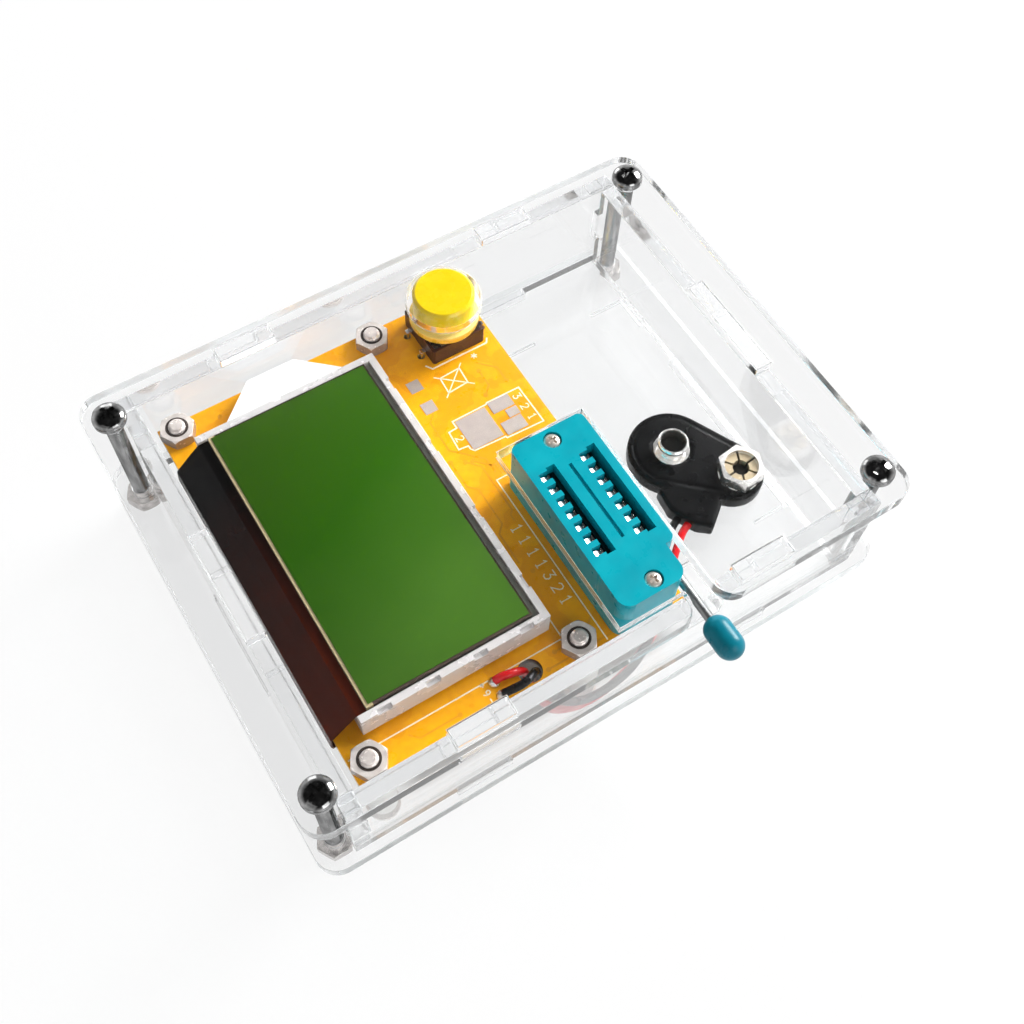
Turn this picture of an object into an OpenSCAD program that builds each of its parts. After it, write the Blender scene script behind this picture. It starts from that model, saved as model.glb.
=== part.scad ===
// Component tester: a display board, a lever-operated test socket, a push
// button and a 9 V battery snap, closed in a box of clear sheet. The box is
// two plates held apart by four tabbed walls and clamped by corner screws.
// The origin is the middle of the overall footprint, on the standing surface.
// Left and right are -X and +X, front and back are -Y and +Y.

/* [Case] */
// Width of both plates
plate_w = 110; // [108:0.5:130]
// Depth of both plates
plate_d = 83.5; // [83:0.5:100]
// Thickness of both plates
plate_t = 3; // [2:0.5:4]
// Corner radius of both plates
plate_r = 4; // [1:0.5:5]
// Clear height between the plates
inside_h = 20; // [19.5:0.5:26]
// Thickness of the walls
wall_t = 3; // [2:0.5:3]
// From the plates' side edges to the side walls
side_inset = 6; // [6:0.5:8]
// From the plates' front and back edges to the long walls
long_inset = 1.5; // [1:0.25:2]
// Length of the side walls' tabs
side_tab_l = 20; // [10:1:40]
// Length of the long walls' tabs
long_tab_l = 10; // [6:1:16]
// From the middle to the long walls' tabs
long_tab_x = 25.5; // [22:0.5:35]
// Gap round a tab in its slot, and between the walls' fingers
tab_fit = 0.05; // [0.02:0.01:0.2]

/* [Fasteners] */
// Diameter of every machine screw
screw_d = 3; // [2.5:0.1:3]
// Gap all round a screw in a hole
screw_fit = 0.1; // [0.05:0.05:0.2]
// Gap all round a screw in a nut
thread_fit = 0.02; // [0.01:0.01:0.05]
// Diameter of the pan heads
head_d = 5.6; // [5:0.1:6]
// Height of the pan heads
head_h = 2; // [1.5:0.1:2.4]
// Nut size across flats
nut_af = 5.5; // [5:0.1:6]
// Nut height
nut_h = 2.4; // [2:0.1:2.6]
// From the plates' side edges to the corner screws
case_screw_in_x = 4.25; // [4:0.05:4.3]
// From the plates' front and back edges to the corner screws
case_screw_in_y = 5.75; // [5:0.25:8]
// Height of the corner screws' tips over the standing surface
tip_gap = 0.4; // [0.1:0.1:1]

/* [Circuit board] */
// Width of the board
board_w = 60; // [60:0.5:66]
// Depth of the board
board_d = 72; // [72:0.5:74]
// Thickness of the board
board_t = 1.6; // [1.2:0.2:1.6]
// Gap between the board and the left wall
board_gap_x = 1.5; // [1.4:0.1:3]
// Gap between the board and the back wall
board_gap_y = 0.4; // [0.3:0.1:1]
// Height of the spacers under the board
spacer_h = 10; // [8:0.5:11]
// Diameter of the spacers
spacer_d = 5; // [4.5:0.1:5]
// Spacing of the board screws, left to right
mount_pitch_x = 37.4; // [36.5:0.1:38]
// Spacing of the board screws, front to back
mount_pitch_y = 67.1; // [66:0.1:67.2]
// Length of a board screw that stands above its nut
thread_stand = 0.8; // [0.4:0.1:1.5]

/* [Display] */
// Width of the display's frame
lcd_w = 33.3; // [33:0.1:34]
// Depth of the display's frame
lcd_d = 57.1; // [54:0.1:58]
// Height of the foam under the display
foam_h = 1; // [0.5:0.1:1.5]
// Height of the backlight block under the glass
backlight_h = 3.9; // [3:0.1:4.5]
// Thickness of the rear glass
rear_glass_t = 0.9; // [0.5:0.1:1.1]
// Thickness of the front glass
front_glass_t = 1.1; // [0.5:0.1:1.1]
// Thickness of the flat cable
flex_t = 0.25; // [0.1:0.05:0.3]

/* [Test socket] */
// Width of the socket
sock_w = 13.8; // [13.6:0.1:14.2]
// Depth of the socket
sock_d = 33.2; // [32.5:0.1:34]
// Height of the socket's base
sock_base_h = 7; // [6.5:0.1:7.5]
// Height of the socket over the board
sock_h = 12.4; // [12:0.1:13]
// Contact pitch
pitch = 2.54; // [2.5:0.01:2.54]
// Spacing of the two contact rows
row_pitch = 7.62; // [7.5:0.01:7.62]
// Contacts in each row
row_n = 7; // [5:1:7]
// Diameter of the lever's rod
rod_d = 1.6; // [1.4:0.1:1.8]
// Height of the lever over the board
lever_h = 5.4; // [5:0.1:5.6]
// Diameter of the lever's knob
knob_d = 4.8; // [4:0.1:4.8]
// Length of the lever's knob
knob_l = 7.8; // [7:0.1:10]
// Gap between the knob and the front wall
knob_gap = 0.8; // [0.3:0.1:1]
// How far the cam pushes the slider
slider_travel = 0.5; // [0.3:0.05:0.5]

/* [Push button] */
// Width of the switch body
switch_w = 10.5; // [10:0.1:12]
// Height of the switch body
switch_h = 3.6; // [3.4:0.1:4]
// Height of the cap's top over the board
cap_top = 12.8; // [11:0.1:14]
// Diameter of the cap
cap_d = 10.8; // [9:0.1:11]
// Diameter of the cap's flange
cap_flange_d = 12.4; // [11.5:0.1:12.6]
// Travel of the button
button_travel = 0.5; // [0.2:0.05:0.5]

/* [Battery snap] */
// Spacing of the two studs
stud_pitch = 12.7; // [12.5:0.1:12.9]
// Thickness of the snap's cover
snap_t = 3.4; // [3:0.1:4]
// Diameter of the leads
lead_d = 1.4; // [1.2:0.1:1.4]

/* [Hidden] */
$fn = 48;
cut = 0.01;
seat_gap = 0.05;
run_gap = 0.1;

// Heights, from the standing surface up
base_z = nut_h;
inside_z = base_z + plate_t;
lid_z = inside_z + inside_h;
lid_top = lid_z + plate_t;
board_z = inside_z + spacer_h;
board_top = board_z + board_t;

// Faces of the walls
side_out = plate_w / 2 - side_inset;
side_in = side_out - wall_t;
long_out = plate_d / 2 - long_inset;
long_in = long_out - wall_t;
finger_h = inside_h / 3;

// Fasteners
shank_r = screw_d / 2;
hole_r = shank_r + screw_fit;
case_screw_x = plate_w / 2 - case_screw_in_x;
case_screw_y = plate_d / 2 - case_screw_in_y;
case_screw_l = lid_top - tip_gap;
board_screw_l = plate_t + spacer_h + board_t + nut_h + thread_stand;
recess_w = 0.8;
recess_l = 0.55 * head_d;
recess_h = 0.5 * head_h;

// The board, and places on it measured from its middle
board_x = -side_in + board_gap_x + board_w / 2;
board_y = long_in - board_gap_y - board_d / 2;
mount_x = -8.25;
lcd_x = -9.15;
lcd_y = -1;
sock_x = 23;
sock_y = -19.65;
switch_x = 22.75;
switch_y = 29.15;
wire_hole_x = 1.5;
wire_hole_y = -33.55;
wire_hole_d = 4;
pad_t = 0.1;
flat_pad_w = 6;
flat_pad_d = 6.5;
flat_pad_x = 17.6;
flat_pad_y = 8.5;
small_pads = [[23.25, 6.1, 4.1, 2.7], [24.4, 8.5, 2.2, 1.7], [23.4, 10.9, 4.2, 2.5]];
square_pad_w = 2.4;
square_pad_x = 12.3;
square_pad_y = 16.6;
square_pad_pitch = 5;
solder_x = -4.3;
solder_y = -32.25;
solder_pitch = 2.5;
solder_r = 1;

// Display
lcd_left = board_x + lcd_x - lcd_w / 2;
lcd_z = board_top + foam_h;
glass_z = lcd_z + backlight_h;
green_z = glass_z + rear_glass_t;
rim_t = 1.3;
rim_h = 1.6;
ledge_w = 1.8;
clip_l = 2.4;
clip_n = 4;
glass_step = 0.2;
foam_w = 4;
foam_l = 50;
guide_base = 27;
guide_tip = 8.8;
guide_t = 2.6;
guide_z = 0.4;
guide_x = 0.8;
guide_back = 0.4;
guide_l = board_d / 2 - lcd_y - lcd_d / 2 - seat_gap - guide_back;
rear_w = lcd_w - rim_t - 2 * seat_gap;
rear_d = lcd_d - 2 * rim_t - 2 * seat_gap;
green_w = rear_w - ledge_w - 1;
green_d = rear_d - 2 * glass_step;
flex_w = rear_d - 2 * run_gap;
flex_tail = 8;
flex_bend = 0.5;

// Test socket
sock_mid_x = board_x + sock_x;
sock_mid_y = board_y + sock_y;
sock_r = 1.2;
sock_front_r = 2.2;
row_y = 1.6;
pivot_y = 4.5 - sock_d / 2;
lever_side = 1.9;
lever_slot = 1.7;
lever_x = sock_w / 2 - lever_side / 2 + 0.25;
shaft_d = 2.2;
lobe_d = 3;
lobe_off = 0.5;
lobe_l = 3.4;
lobe_x = -3.2;
cover_wall = 1.2;
cover_skin = 2.5;
cavity_front = 5.4;
cavity_back = 3.4;
cavity_l = sock_d - cavity_front - cavity_back;
cavity_y = (cavity_front - cavity_back) / 2;
slider_w = 10.6;
slider_h = 2;
slider_slot_w = 2.4;
lug_t = 1.4;
lug_w = 3;
comb_w = 1.7;
comb_l = 1.5;
trough_w = 1.6;
contact_w = 1.1;
contact_t = 0.35;
contact_z = 1.2;
pin_w = 0.5;
pin_l = 1.4;
pin_hole_d = 1;
sock_screw_d = 1.6;
sock_screw_head = 2.9;
sock_screw_y = sock_d / 2 - 2.2;
sock_screw_l = 8;
sock_head_h = 0.9;
sock_groove_w = 0.6;
pivot_z = board_top + lever_h;
knob_y0 = -(long_out + knob_gap);
knob_y1 = knob_y0 - knob_l;

// Window and lever notch in the lid
window_left = sock_mid_x - sock_w / 2 - 1.7;
window_right = sock_mid_x + sock_w / 2 + 0.9;
window_front = sock_mid_y - sock_d / 2 - 1.5;
window_back = sock_mid_y + sock_d / 2 + 0.9;
notch_w = 4.5;
notch_r = 3.6;
wall_notch_w = 6;
wall_notch_drop = 2;

// Push button
plunger_flange_d = 6.6;
plunger_neck_d = 5;
post_w = 3.8;
post_top = 9.3;
cavity_floor = 0.5;
cavity_d = 7.4;
dome_d = 6.4;
dome_t = 0.15;
cover_t = 0.3;
plunger_z = cavity_floor + dome_t + run_gap + button_travel;
rivet_d = 1.3;
rivet_h = 0.4;
rivet_x = switch_w / 2 - 1.15;
terminal_x = switch_w / 2 + 1;
terminal_pitch = 5;
terminal_w = 0.9;
terminal_t = 0.4;
terminal_hole_d = 1.3;
cap_z = switch_h + cover_t + rivet_h + button_travel + run_gap;
cap_hole_d = cap_flange_d + 0.6;
cap_flange_h = 1.4;
cap_wall = 1.2;
cap_roof = 2.4;
boss_d = 6.8;

// Battery snap
snap_x = 33.2;
snap_y = -7.6;
snap_turn = -53.5;
lobe_big_r = 7.9;
lobe_small_r = 5.8;
boot = [[26.4, -13], [25.9, -17.6], [28.3, -22.4], [30.6, -24.3], [34.4, -21.4], [36, -16]];
stud_base_t = 0.5;
male_d = 5.6;
male_h = 3.2;
female_af = 7.4;
female_d = 6.1;
female_h = 2.6;
spring_h = 1.8;
spring_gap_d = 3;
spring_slot_w = 0.4;
male_base_d = 6.6;
female_base_d = 7.6;
lobe_small_off = 1.2;

// Routes of the two leads, from the snap to the solder pads, laid by hand
red_route = [
    [27.6, -21, 7.1], [25.6, -22, 7.1], [22.9, -24.1, 6.6], [19.8, -26.8, 6.2],
    [16.4, -29.2, 6.2], [13, -31.2, 6.2], [9.4, -33, 6.2], [5.6, -34.5, 6.2],
    [1.8, -35.5, 6.2], [-2, -36.1, 6.2], [-5.8, -36.1, 6.2], [-9, -35.5, 6.8],
    [-11.3, -34.7, 8.4], [-12.7, -33.6, 10.8], [-13.2, -32.6, 13.4], [-13.4, -32.3, 15.2],
    [-13.7, -32.2, 16.4], [-14.3, -32.2, 17.5], [-15.3, -32.1, 18.3], [-16.5, -31.9, 18.6],
    [-17.7, -31.6, 18.4], [-18.7, -31.4, 17.7]
];
black_route = [
    [26.7, -19.2, 7.1], [24.7, -20.2, 7.1], [21.9, -22.5, 6.9], [18.7, -25.4, 7.3],
    [15.2, -28.5, 7.9], [11.8, -31.3, 7.9], [8.4, -33.6, 7.9], [5, -35.2, 7.9],
    [1.6, -36.1, 7.9], [-2, -36.4, 7.9], [-5.2, -36.3, 8.2], [-7.7, -35.8, 9.2],
    [-9.8, -35, 10.8], [-11.2, -34, 12.8], [-11.8, -33.3, 14.6], [-12, -33.1, 16.2],
    [-12.4, -33.3, 17.4], [-13.2, -33.8, 18.4], [-14.4, -34.3, 18.9], [-15.8, -34.5, 19],
    [-17.2, -34.3, 18.6], [-18.6, -33.9, 17.7]
];
lead_sides = 8;

// Parts under the board, measured from its middle
mcu_x = -5;
mcu_y = 6;
mcu_w = 7;
mcu_h = 1;
mcu_side_n = 8;
mcu_pitch = 0.8;
mcu_foot_w = 0.3;
mcu_foot_l = 1;
crystal_y = -6;
crystal_l = 11;
crystal_w = 4.6;
crystal_h = 3.4;
crystal_rim = 0.7;
crystal_rim_h = 0.5;
reg_x = 12;
reg_y = -14;
reg_w = 4.5;
reg_d = 2.5;
reg_h = 1.5;
reg_pitch = 1.5;
reg_foot = 0.5;
reg_tab = 1.8;
chip_n = 6;
chip_x = -10;
chip_pitch = 4.2;
chip_l = 2;
chip_w = 1.25;
capacitor_y = 15;
capacitor_h = 0.9;
resistor_y = 20;
resistor_step = 3.6;
resistor_h = 0.5;
can_y = -21;
can_d = 5.3;
can_h = 5.4;
can_base_h = 0.8;

// Middle of the footprint: the knob reaches further forward than the plates
case_y = (-knob_y1 - plate_d / 2) / 2;

// ---- Shared shapes ----

module in_case() {
    translate([0, case_y, 0]) children();
}

module on_board(x, y, z = 0) {
    in_case() translate([board_x + x, board_y + y, board_top + z]) children();
}

module under_board(x, y) {
    in_case() translate([board_x + x, board_y + y, board_z]) mirror([0, 0, 1]) children();
}

module four(x, y) {
    for (sx = [-1, 1], sy = [-1, 1])
        translate([sx * x, sy * y, 0]) children();
}

// A box given by its middle in X and Y and its lowest Z
module block(w, d, h) {
    translate([-w / 2, -d / 2, 0]) cube([w, d, h]);
}

module rounded(w, d, r) {
    square([w - 2 * r, d], center = true);
    square([w, d - 2 * r], center = true);
    four(w / 2 - r, d / 2 - r) circle(r);
}

// A pan-head screw: the head's underside at Z = 0, the shank below it
module pan_screw(d, l, wide, tall) {
    tip = d / 8;
    rim = 0.35 * tall;
    dome = [for (a = [0:15:90]) [wide / 2 * cos(a), rim + (tall - rim) * sin(a)]];
    difference() {
        rotate_extrude() polygon(concat(
            [[0, -l], [d / 2 - tip, -l], [d / 2, -l + tip], [d / 2, 0], [wide / 2, 0]], dome));
        for (turn = [0, 90]) rotate(turn + 20)
            translate([0, 0, tall - recess_h * tall / head_h])
                block(recess_w * wide / head_d, recess_l * wide / head_d, tall);
    }
}

module hex_nut() {
    corner_r = nut_af / sqrt(3);
    bevel = 0.35;
    difference() {
        intersection() {
            cylinder(h = nut_h, r = corner_r, $fn = 6);
            rotate_extrude() polygon([
                [0, 0], [corner_r - bevel, 0], [corner_r, bevel],
                [corner_r, nut_h - bevel], [corner_r - bevel, nut_h], [0, nut_h]]);
        }
        translate([0, 0, -cut]) cylinder(h = nut_h + 2 * cut, r = shank_r + thread_fit);
    }
}

// ---- Sweeping a round cord along a list of points ----

function unit(v) = v / norm(v);
function tangent(path, i) = unit(path[min(i + 1, len(path) - 1)] - path[max(i - 1, 0)]);
function turned(n, t) = unit(n - (n * t) * t);
function normal(path, i) =
    i == 0 ? turned([0, 0, 1], tangent(path, 0)) : turned(normal(path, i - 1), tangent(path, i));
function ring(path, i, r, n) =
    let (u = normal(path, i), v = cross(tangent(path, i), u))
    [for (k = [0:n - 1]) path[i] + r * (cos(360 * k / n) * u + sin(360 * k / n) * v)];

module cord(path, d) {
    n = lead_sides;
    last = len(path) - 1;
    points = [for (i = [0:last]) each ring(path, i, d / 2, n)];
    sides = [for (i = [0:last - 1], k = [0:n - 1])
        [i * n + k, i * n + (k + 1) % n, (i + 1) * n + (k + 1) % n, (i + 1) * n + k]];
    start = [[for (k = [n - 1:-1:0]) k]];
    end = [[for (k = [0:n - 1]) last * n + k]];
    polyhedron(points, concat(sides, start, end), convexity = 6);
}

// ---- Case ----

module plate_blank() {
    difference() {
        linear_extrude(plate_t) rounded(plate_w, plate_d, plate_r);
        four(case_screw_x, case_screw_y) translate([0, 0, -cut])
            cylinder(h = plate_t + 2 * cut, r = hole_r);
        for (side = [-1, 1]) {
            translate([side * (side_out + side_in) / 2, 0, -cut])
                block(wall_t + 2 * tab_fit, side_tab_l + 2 * tab_fit, plate_t + 2 * cut);
            for (end = [-1, 1])
                translate([end * long_tab_x, side * (long_out + long_in) / 2, -cut])
                    block(long_tab_l + 2 * tab_fit, wall_t + 2 * tab_fit, plate_t + 2 * cut);
        }
    }
}

// The window round the socket, opened to the front edge for the lever
module window_outline() {
    front = -plate_d / 2;
    translate([window_left, window_front])
        square([window_right - window_left, window_back - window_front]);
    translate([window_right - notch_w, front - cut])
        square([notch_w, window_front - front + 2 * cut]);
    difference() {
        translate([window_right - notch_w - notch_r, front - cut])
            square([notch_w + 2 * notch_r, notch_r + cut]);
        for (x = [window_right - notch_w - notch_r, window_right + notch_r])
            translate([x, front + notch_r]) circle(notch_r);
    }
}

module top_plate() {
    color("#eef3f5") in_case() translate([0, 0, lid_z]) difference() {
        plate_blank();
        translate([0, 0, -cut]) linear_extrude(plate_t + 2 * cut) window_outline();
        translate([board_x + switch_x, board_y + switch_y, -cut])
            cylinder(h = plate_t + 2 * cut, d = cap_hole_d);
    }
}

module board_screw_places() {
    translate([board_x + mount_x, board_y, 0])
        four(mount_pitch_x / 2, mount_pitch_y / 2) children();
}

// An engraved corner that shows where the battery lies
module battery_corner(x, y, to_x, to_y) {
    line_w = 0.5;
    arm = 6.5;
    translate([x, y, plate_t - line_w]) {
        translate([to_x * arm / 2, 0, 0]) block(arm + line_w, line_w, plate_t);
        translate([0, to_y * arm / 2, 0]) block(line_w, arm + line_w, plate_t);
    }
}

module bottom_plate() {
    battery_w = 26.5;
    battery_l = 52.5;
    right = side_in - 0.5;
    color("#eef3f5") in_case() translate([0, 0, base_z]) difference() {
        plate_blank();
        board_screw_places() translate([0, 0, -cut])
            cylinder(h = plate_t + 2 * cut, r = hole_r);
        for (end = [-1, 1]) {
            battery_corner(right, end * battery_l / 2, -1, -end);
            battery_corner(right - battery_w, end * battery_l / 2, 1, -end);
        }
    }
}

// A long wall seen from the front: fingers at the top and bottom corners
module long_wall_outline() {
    inner = side_in - tab_fit;
    translate([-inner, 0]) square([2 * inner, inside_h]);
    for (z = [0, 2 * finger_h + tab_fit])
        translate([-side_out, z]) square([2 * side_out, finger_h - tab_fit]);
    for (end = [-1, 1])
        translate([end * long_tab_x - long_tab_l / 2, -plate_t])
            square([long_tab_l, inside_h + 2 * plate_t]);
}

// A side wall seen from the side: one finger at the middle of each corner
module side_wall_outline() {
    inner = long_in - tab_fit;
    translate([-inner, 0]) square([2 * inner, inside_h]);
    translate([-long_out, finger_h]) square([2 * long_out, finger_h]);
    translate([-side_tab_l / 2, -plate_t]) square([side_tab_l, inside_h + 2 * plate_t]);
}

module long_wall(front_face) {
    translate([0, front_face + wall_t, inside_z]) rotate([90, 0, 0])
        linear_extrude(wall_t) long_wall_outline();
}

module side_wall(left_face) {
    translate([left_face, 0, inside_z]) rotate([90, 0, 90])
        linear_extrude(wall_t) side_wall_outline();
}

module front_wall() {
    rod_low = pivot_z - rod_d / 2 - wall_notch_drop;
    color("#e9eff2") in_case() difference() {
        long_wall(-long_out);
        translate([sock_mid_x + lever_x, -(long_in + long_out) / 2, rod_low])
            block(wall_notch_w, wall_t + 2 * cut, lid_top);
    }
}

module back_wall() {
    color("#e9eff2") in_case() long_wall(long_in);
}

module left_wall() {
    color("#e9eff2") in_case() side_wall(-side_out);
}

module right_wall() {
    color("#e9eff2") in_case() side_wall(side_in);
}

module case_screws() {
    color("#c9ccd0") in_case() four(case_screw_x, case_screw_y)
        translate([0, 0, lid_top]) pan_screw(screw_d, case_screw_l, head_d, head_h);
}

module case_nuts() {
    color("#c9ccd0") in_case() four(case_screw_x, case_screw_y) hex_nut();
}

// ---- Circuit board and what holds it ----

module each_contact() {
    for (row = [-1, 1], i = [0:row_n - 1])
        translate([row * row_pitch / 2, row_y + (i - (row_n - 1) / 2) * pitch, 0]) children();
}

module each_terminal() {
    for (side = [-1, 1], end = [-1, 1])
        translate([side * terminal_x, end * terminal_pitch / 2, 0])
            scale([side, 1, 1]) children();
}

module circuit_board() {
    deep = board_t + 2 * cut;
    color("#f0a21a") difference() {
        in_case() translate([board_x, board_y, board_z]) block(board_w, board_d, board_t);
        in_case() board_screw_places() translate([0, 0, board_z - cut])
            cylinder(h = deep, r = hole_r);
        on_board(sock_x, sock_y, -board_t - cut) each_contact()
            cylinder(h = deep, d = pin_hole_d);
        on_board(switch_x, switch_y, -board_t - cut) each_terminal()
            cylinder(h = deep, d = terminal_hole_d);
        on_board(wire_hole_x, wire_hole_y, -board_t - cut)
            cylinder(h = deep, d = wire_hole_d);
    }
}

module board_screws() {
    color("#c9ccd0") in_case() board_screw_places()
        translate([0, 0, base_z]) mirror([0, 0, 1])
            pan_screw(screw_d, board_screw_l, head_d, head_h);
}

module board_spacers() {
    color("white") in_case() board_screw_places() translate([0, 0, inside_z])
        difference() {
            cylinder(h = spacer_h, d = spacer_d);
            translate([0, 0, -cut]) cylinder(h = spacer_h + 2 * cut, r = hole_r);
        }
}

module board_nuts() {
    color("#d4d0cc") in_case() board_screw_places()
        translate([0, 0, board_top]) hex_nut();
}

// Bare pads: one large and three small for flat parts, two square ones apart
module test_pads() {
    color("#c9c2b8") {
        on_board(flat_pad_x, flat_pad_y) block(flat_pad_w, flat_pad_d, pad_t);
        for (p = small_pads) on_board(p[0], p[1]) block(p[2], p[3], pad_t);
        for (i = [0, 1]) on_board(square_pad_x, square_pad_y + square_pad_pitch * i)
            block(square_pad_w, square_pad_w, pad_t);
    }
}

// ---- Display ----

module lcd_foam_pads() {
    color("#3a3a3a") for (side = [-1, 1])
        on_board(lcd_x + side * (lcd_w / 2 - foam_w), lcd_y) block(foam_w, foam_l, foam_h);
}

module lcd_backlight() {
    seat_w = lcd_w - rim_t;
    seat_d = lcd_d - 2 * rim_t;
    color("#e6e8e6") on_board(lcd_x, lcd_y, foam_h) difference() {
        block(lcd_w, lcd_d, backlight_h + rim_h);
        translate([-rim_t / 2 - cut, 0, backlight_h]) block(seat_w + 2 * cut, seat_d, rim_h + cut);
        for (i = [0:clip_n - 1]) {
            along = (i - (clip_n - 1) / 2) / clip_n;
            translate([lcd_w / 2, along * lcd_d, backlight_h + rim_h / 2])
                block(rim_t, clip_l, rim_h);
            translate([along * lcd_w, -lcd_d / 2, backlight_h + rim_h / 2])
                block(clip_l, rim_t, rim_h);
        }
    }
}

module lcd_light_guide() {
    start = lcd_d / 2 + seat_gap;
    color("#f6f7f5") on_board(lcd_x + guide_x, lcd_y, guide_z) linear_extrude(guide_t)
        polygon([
            [-guide_base / 2, start], [guide_base / 2, start],
            [guide_tip / 2, start + guide_l], [-guide_tip / 2, start + guide_l]]);
}

module lcd_rear_glass() {
    color("#5c6e52") on_board(lcd_x - rim_t / 2, lcd_y, foam_h + backlight_h)
        block(rear_w, rear_d, rear_glass_t);
}

module lcd_front_glass() {
    color("#3f7a2c")
        on_board(lcd_x - lcd_w / 2 + ledge_w + green_w / 2, lcd_y,
                 foam_h + backlight_h + rear_glass_t)
            block(green_w, green_d, front_glass_t);
}

// The flat cable leaves the rear glass's ledge, drops over the board's left
// edge and ends under the board
module lcd_flex_cable() {
    glass_left = lcd_left - board_x + seat_gap;
    ledge = green_z - board_top + seat_gap;
    edge = -board_w / 2;
    below = -board_t - seat_gap - flex_t;
    bend = flex_bend;
    outer = [
        [glass_left + ledge_w - 2 * seat_gap, ledge + flex_t], [glass_left, ledge + flex_t],
        [glass_left - 2, 0.75 * ledge], [edge - bend, 0.3 * ledge],
        [edge - bend - flex_t, -board_t / 2], [edge - bend, below], [edge + flex_tail, below]];
    inner = [
        [edge + flex_tail, below + flex_t], [edge - bend + flex_t, below + flex_t],
        [edge - bend, -board_t / 2], [edge - bend + flex_t, 0.3 * ledge - flex_t],
        [glass_left - 2 + flex_t / 2, 0.75 * ledge - flex_t],
        [glass_left, ledge], [glass_left + ledge_w - 2 * seat_gap, ledge]];
    color("#3a1f10") on_board(0, lcd_y + flex_w / 2) rotate([90, 0, 0])
        linear_extrude(flex_w) polygon(concat(outer, inner));
}

// ---- Test socket ----

// Outline of the socket: its right front is narrower, to let the lever pass
module socket_outline() {
    step = pivot_y + lever_slot;
    translate([0, (sock_d / 2 + step) / 2]) rounded(sock_w, sock_d / 2 - step, sock_r);
    translate([-lever_side / 2, (step + 2 * sock_r - sock_d / 2) / 2])
        rounded(sock_w - lever_side, sock_d / 2 + step + 2 * sock_r, sock_front_r);
}

module socket_screw_places() {
    for (end = [-1, 1]) translate([0, end * sock_screw_y, 0]) children();
}

// Room for the cam and the slider's lug
module cam_room(low, tall) {
    back = lobe_d / 2 - lobe_off + lug_t + slider_travel + 2 * run_gap;
    front = -lobe_d / 2 - lobe_off - run_gap;
    translate([lobe_x, pivot_y + (front + back) / 2, low])
        block(lobe_l + 2 * run_gap, back - front, tall);
}

module socket_base() {
    color("#0a8f9c") on_board(sock_x, sock_y) difference() {
        linear_extrude(sock_base_h) socket_outline();
        // slots for the contacts
        each_contact() translate([0, 0, -cut])
            block(contact_w + 2 * seat_gap, contact_w + 2 * seat_gap, sock_base_h + 2 * cut);
        // room for the cam, open at the top for the slider's lug
        cam_room(lever_h - lobe_d / 2 - lobe_off - run_gap, sock_base_h);
        // bore for the lever's shaft
        translate([-sock_w / 2 + cover_wall, pivot_y, lever_h]) rotate([0, 90, 0])
            cylinder(h = sock_w, r = shaft_d / 2 + seat_gap);
        socket_screw_places() cylinder(h = sock_h, r = sock_screw_d / 2 + thread_fit);
    }
}

module socket_slider() {
    lobe_reach = lobe_d / 2 - lobe_off;
    lug_y = pivot_y + lobe_reach + run_gap;
    back = cavity_y + cavity_l / 2 - slider_travel - run_gap;
    lug_low = lever_h - lobe_d / 2;
    color("#0d7f8a") on_board(sock_x, sock_y) {
        translate([0, 0, sock_base_h + run_gap / 2]) difference() {
            translate([-slider_w / 2, lug_y, 0]) cube([slider_w, back - lug_y, slider_h]);
            for (row = [-1, 1]) translate([row * row_pitch / 2, row_y, -cut])
                block(slider_slot_w, row_n * pitch + slider_travel, slider_h + 2 * cut);
        }
        translate([lobe_x - lug_w / 2, lug_y, lug_low])
            cube([lug_w, lug_t, sock_base_h - lug_low + run_gap / 2 + cut]);
    }
}

// A window over one contact row: a trough with a comb of slots on its left
module comb_window() {
    long = row_n * pitch;
    translate([0, -long / 2]) square([trough_w, long]);
    for (i = [0:row_n - 1])
        translate([-comb_w, (i - (row_n - 1) / 2) * pitch - comb_l / 2])
            square([comb_w + cut, comb_l]);
}

module socket_cover() {
    tall = sock_h - sock_base_h;
    cavity_h = tall - cover_skin;
    color("#12a3b0") on_board(sock_x, sock_y, sock_base_h) difference() {
        linear_extrude(tall) socket_outline();
        // pocket that holds the slider
        translate([0, cavity_y, -cut])
            block(slider_w + 2 * run_gap, cavity_l, cavity_h + cut);
        cam_room(-cut, lobe_off + run_gap);
        for (row = [-1, 1])
            translate([row * row_pitch / 2, row_y, -cut]) linear_extrude(tall + 2 * cut)
                comb_window();
        translate([0, row_y, tall - sock_groove_w])
            block(sock_groove_w, (row_n - 1) * pitch, sock_groove_w + cut);
        socket_screw_places() {
            translate([0, 0, -cut]) cylinder(h = tall + 2 * cut, r = sock_screw_d / 2 + screw_fit);
            translate([0, 0, tall - sock_head_h])
                cylinder(h = sock_head_h + cut, d = sock_screw_head + 2 * screw_fit);
        }
    }
}

module socket_contacts() {
    blade_top = sock_h - contact_z;
    color("#dfe1e2") on_board(sock_x, sock_y) each_contact() {
        translate([0, 0, seat_gap]) block(contact_t, contact_w, blade_top - seat_gap);
        translate([0, 0, -board_t - pin_l]) block(contact_t, pin_w, board_t + pin_l + 2 * seat_gap);
    }
}

module socket_screws() {
    color("#d8d9da") on_board(sock_x, sock_y, sock_h - sock_head_h)
        socket_screw_places() pan_screw(sock_screw_d, sock_screw_l, sock_screw_head, sock_head_h);
}

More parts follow.
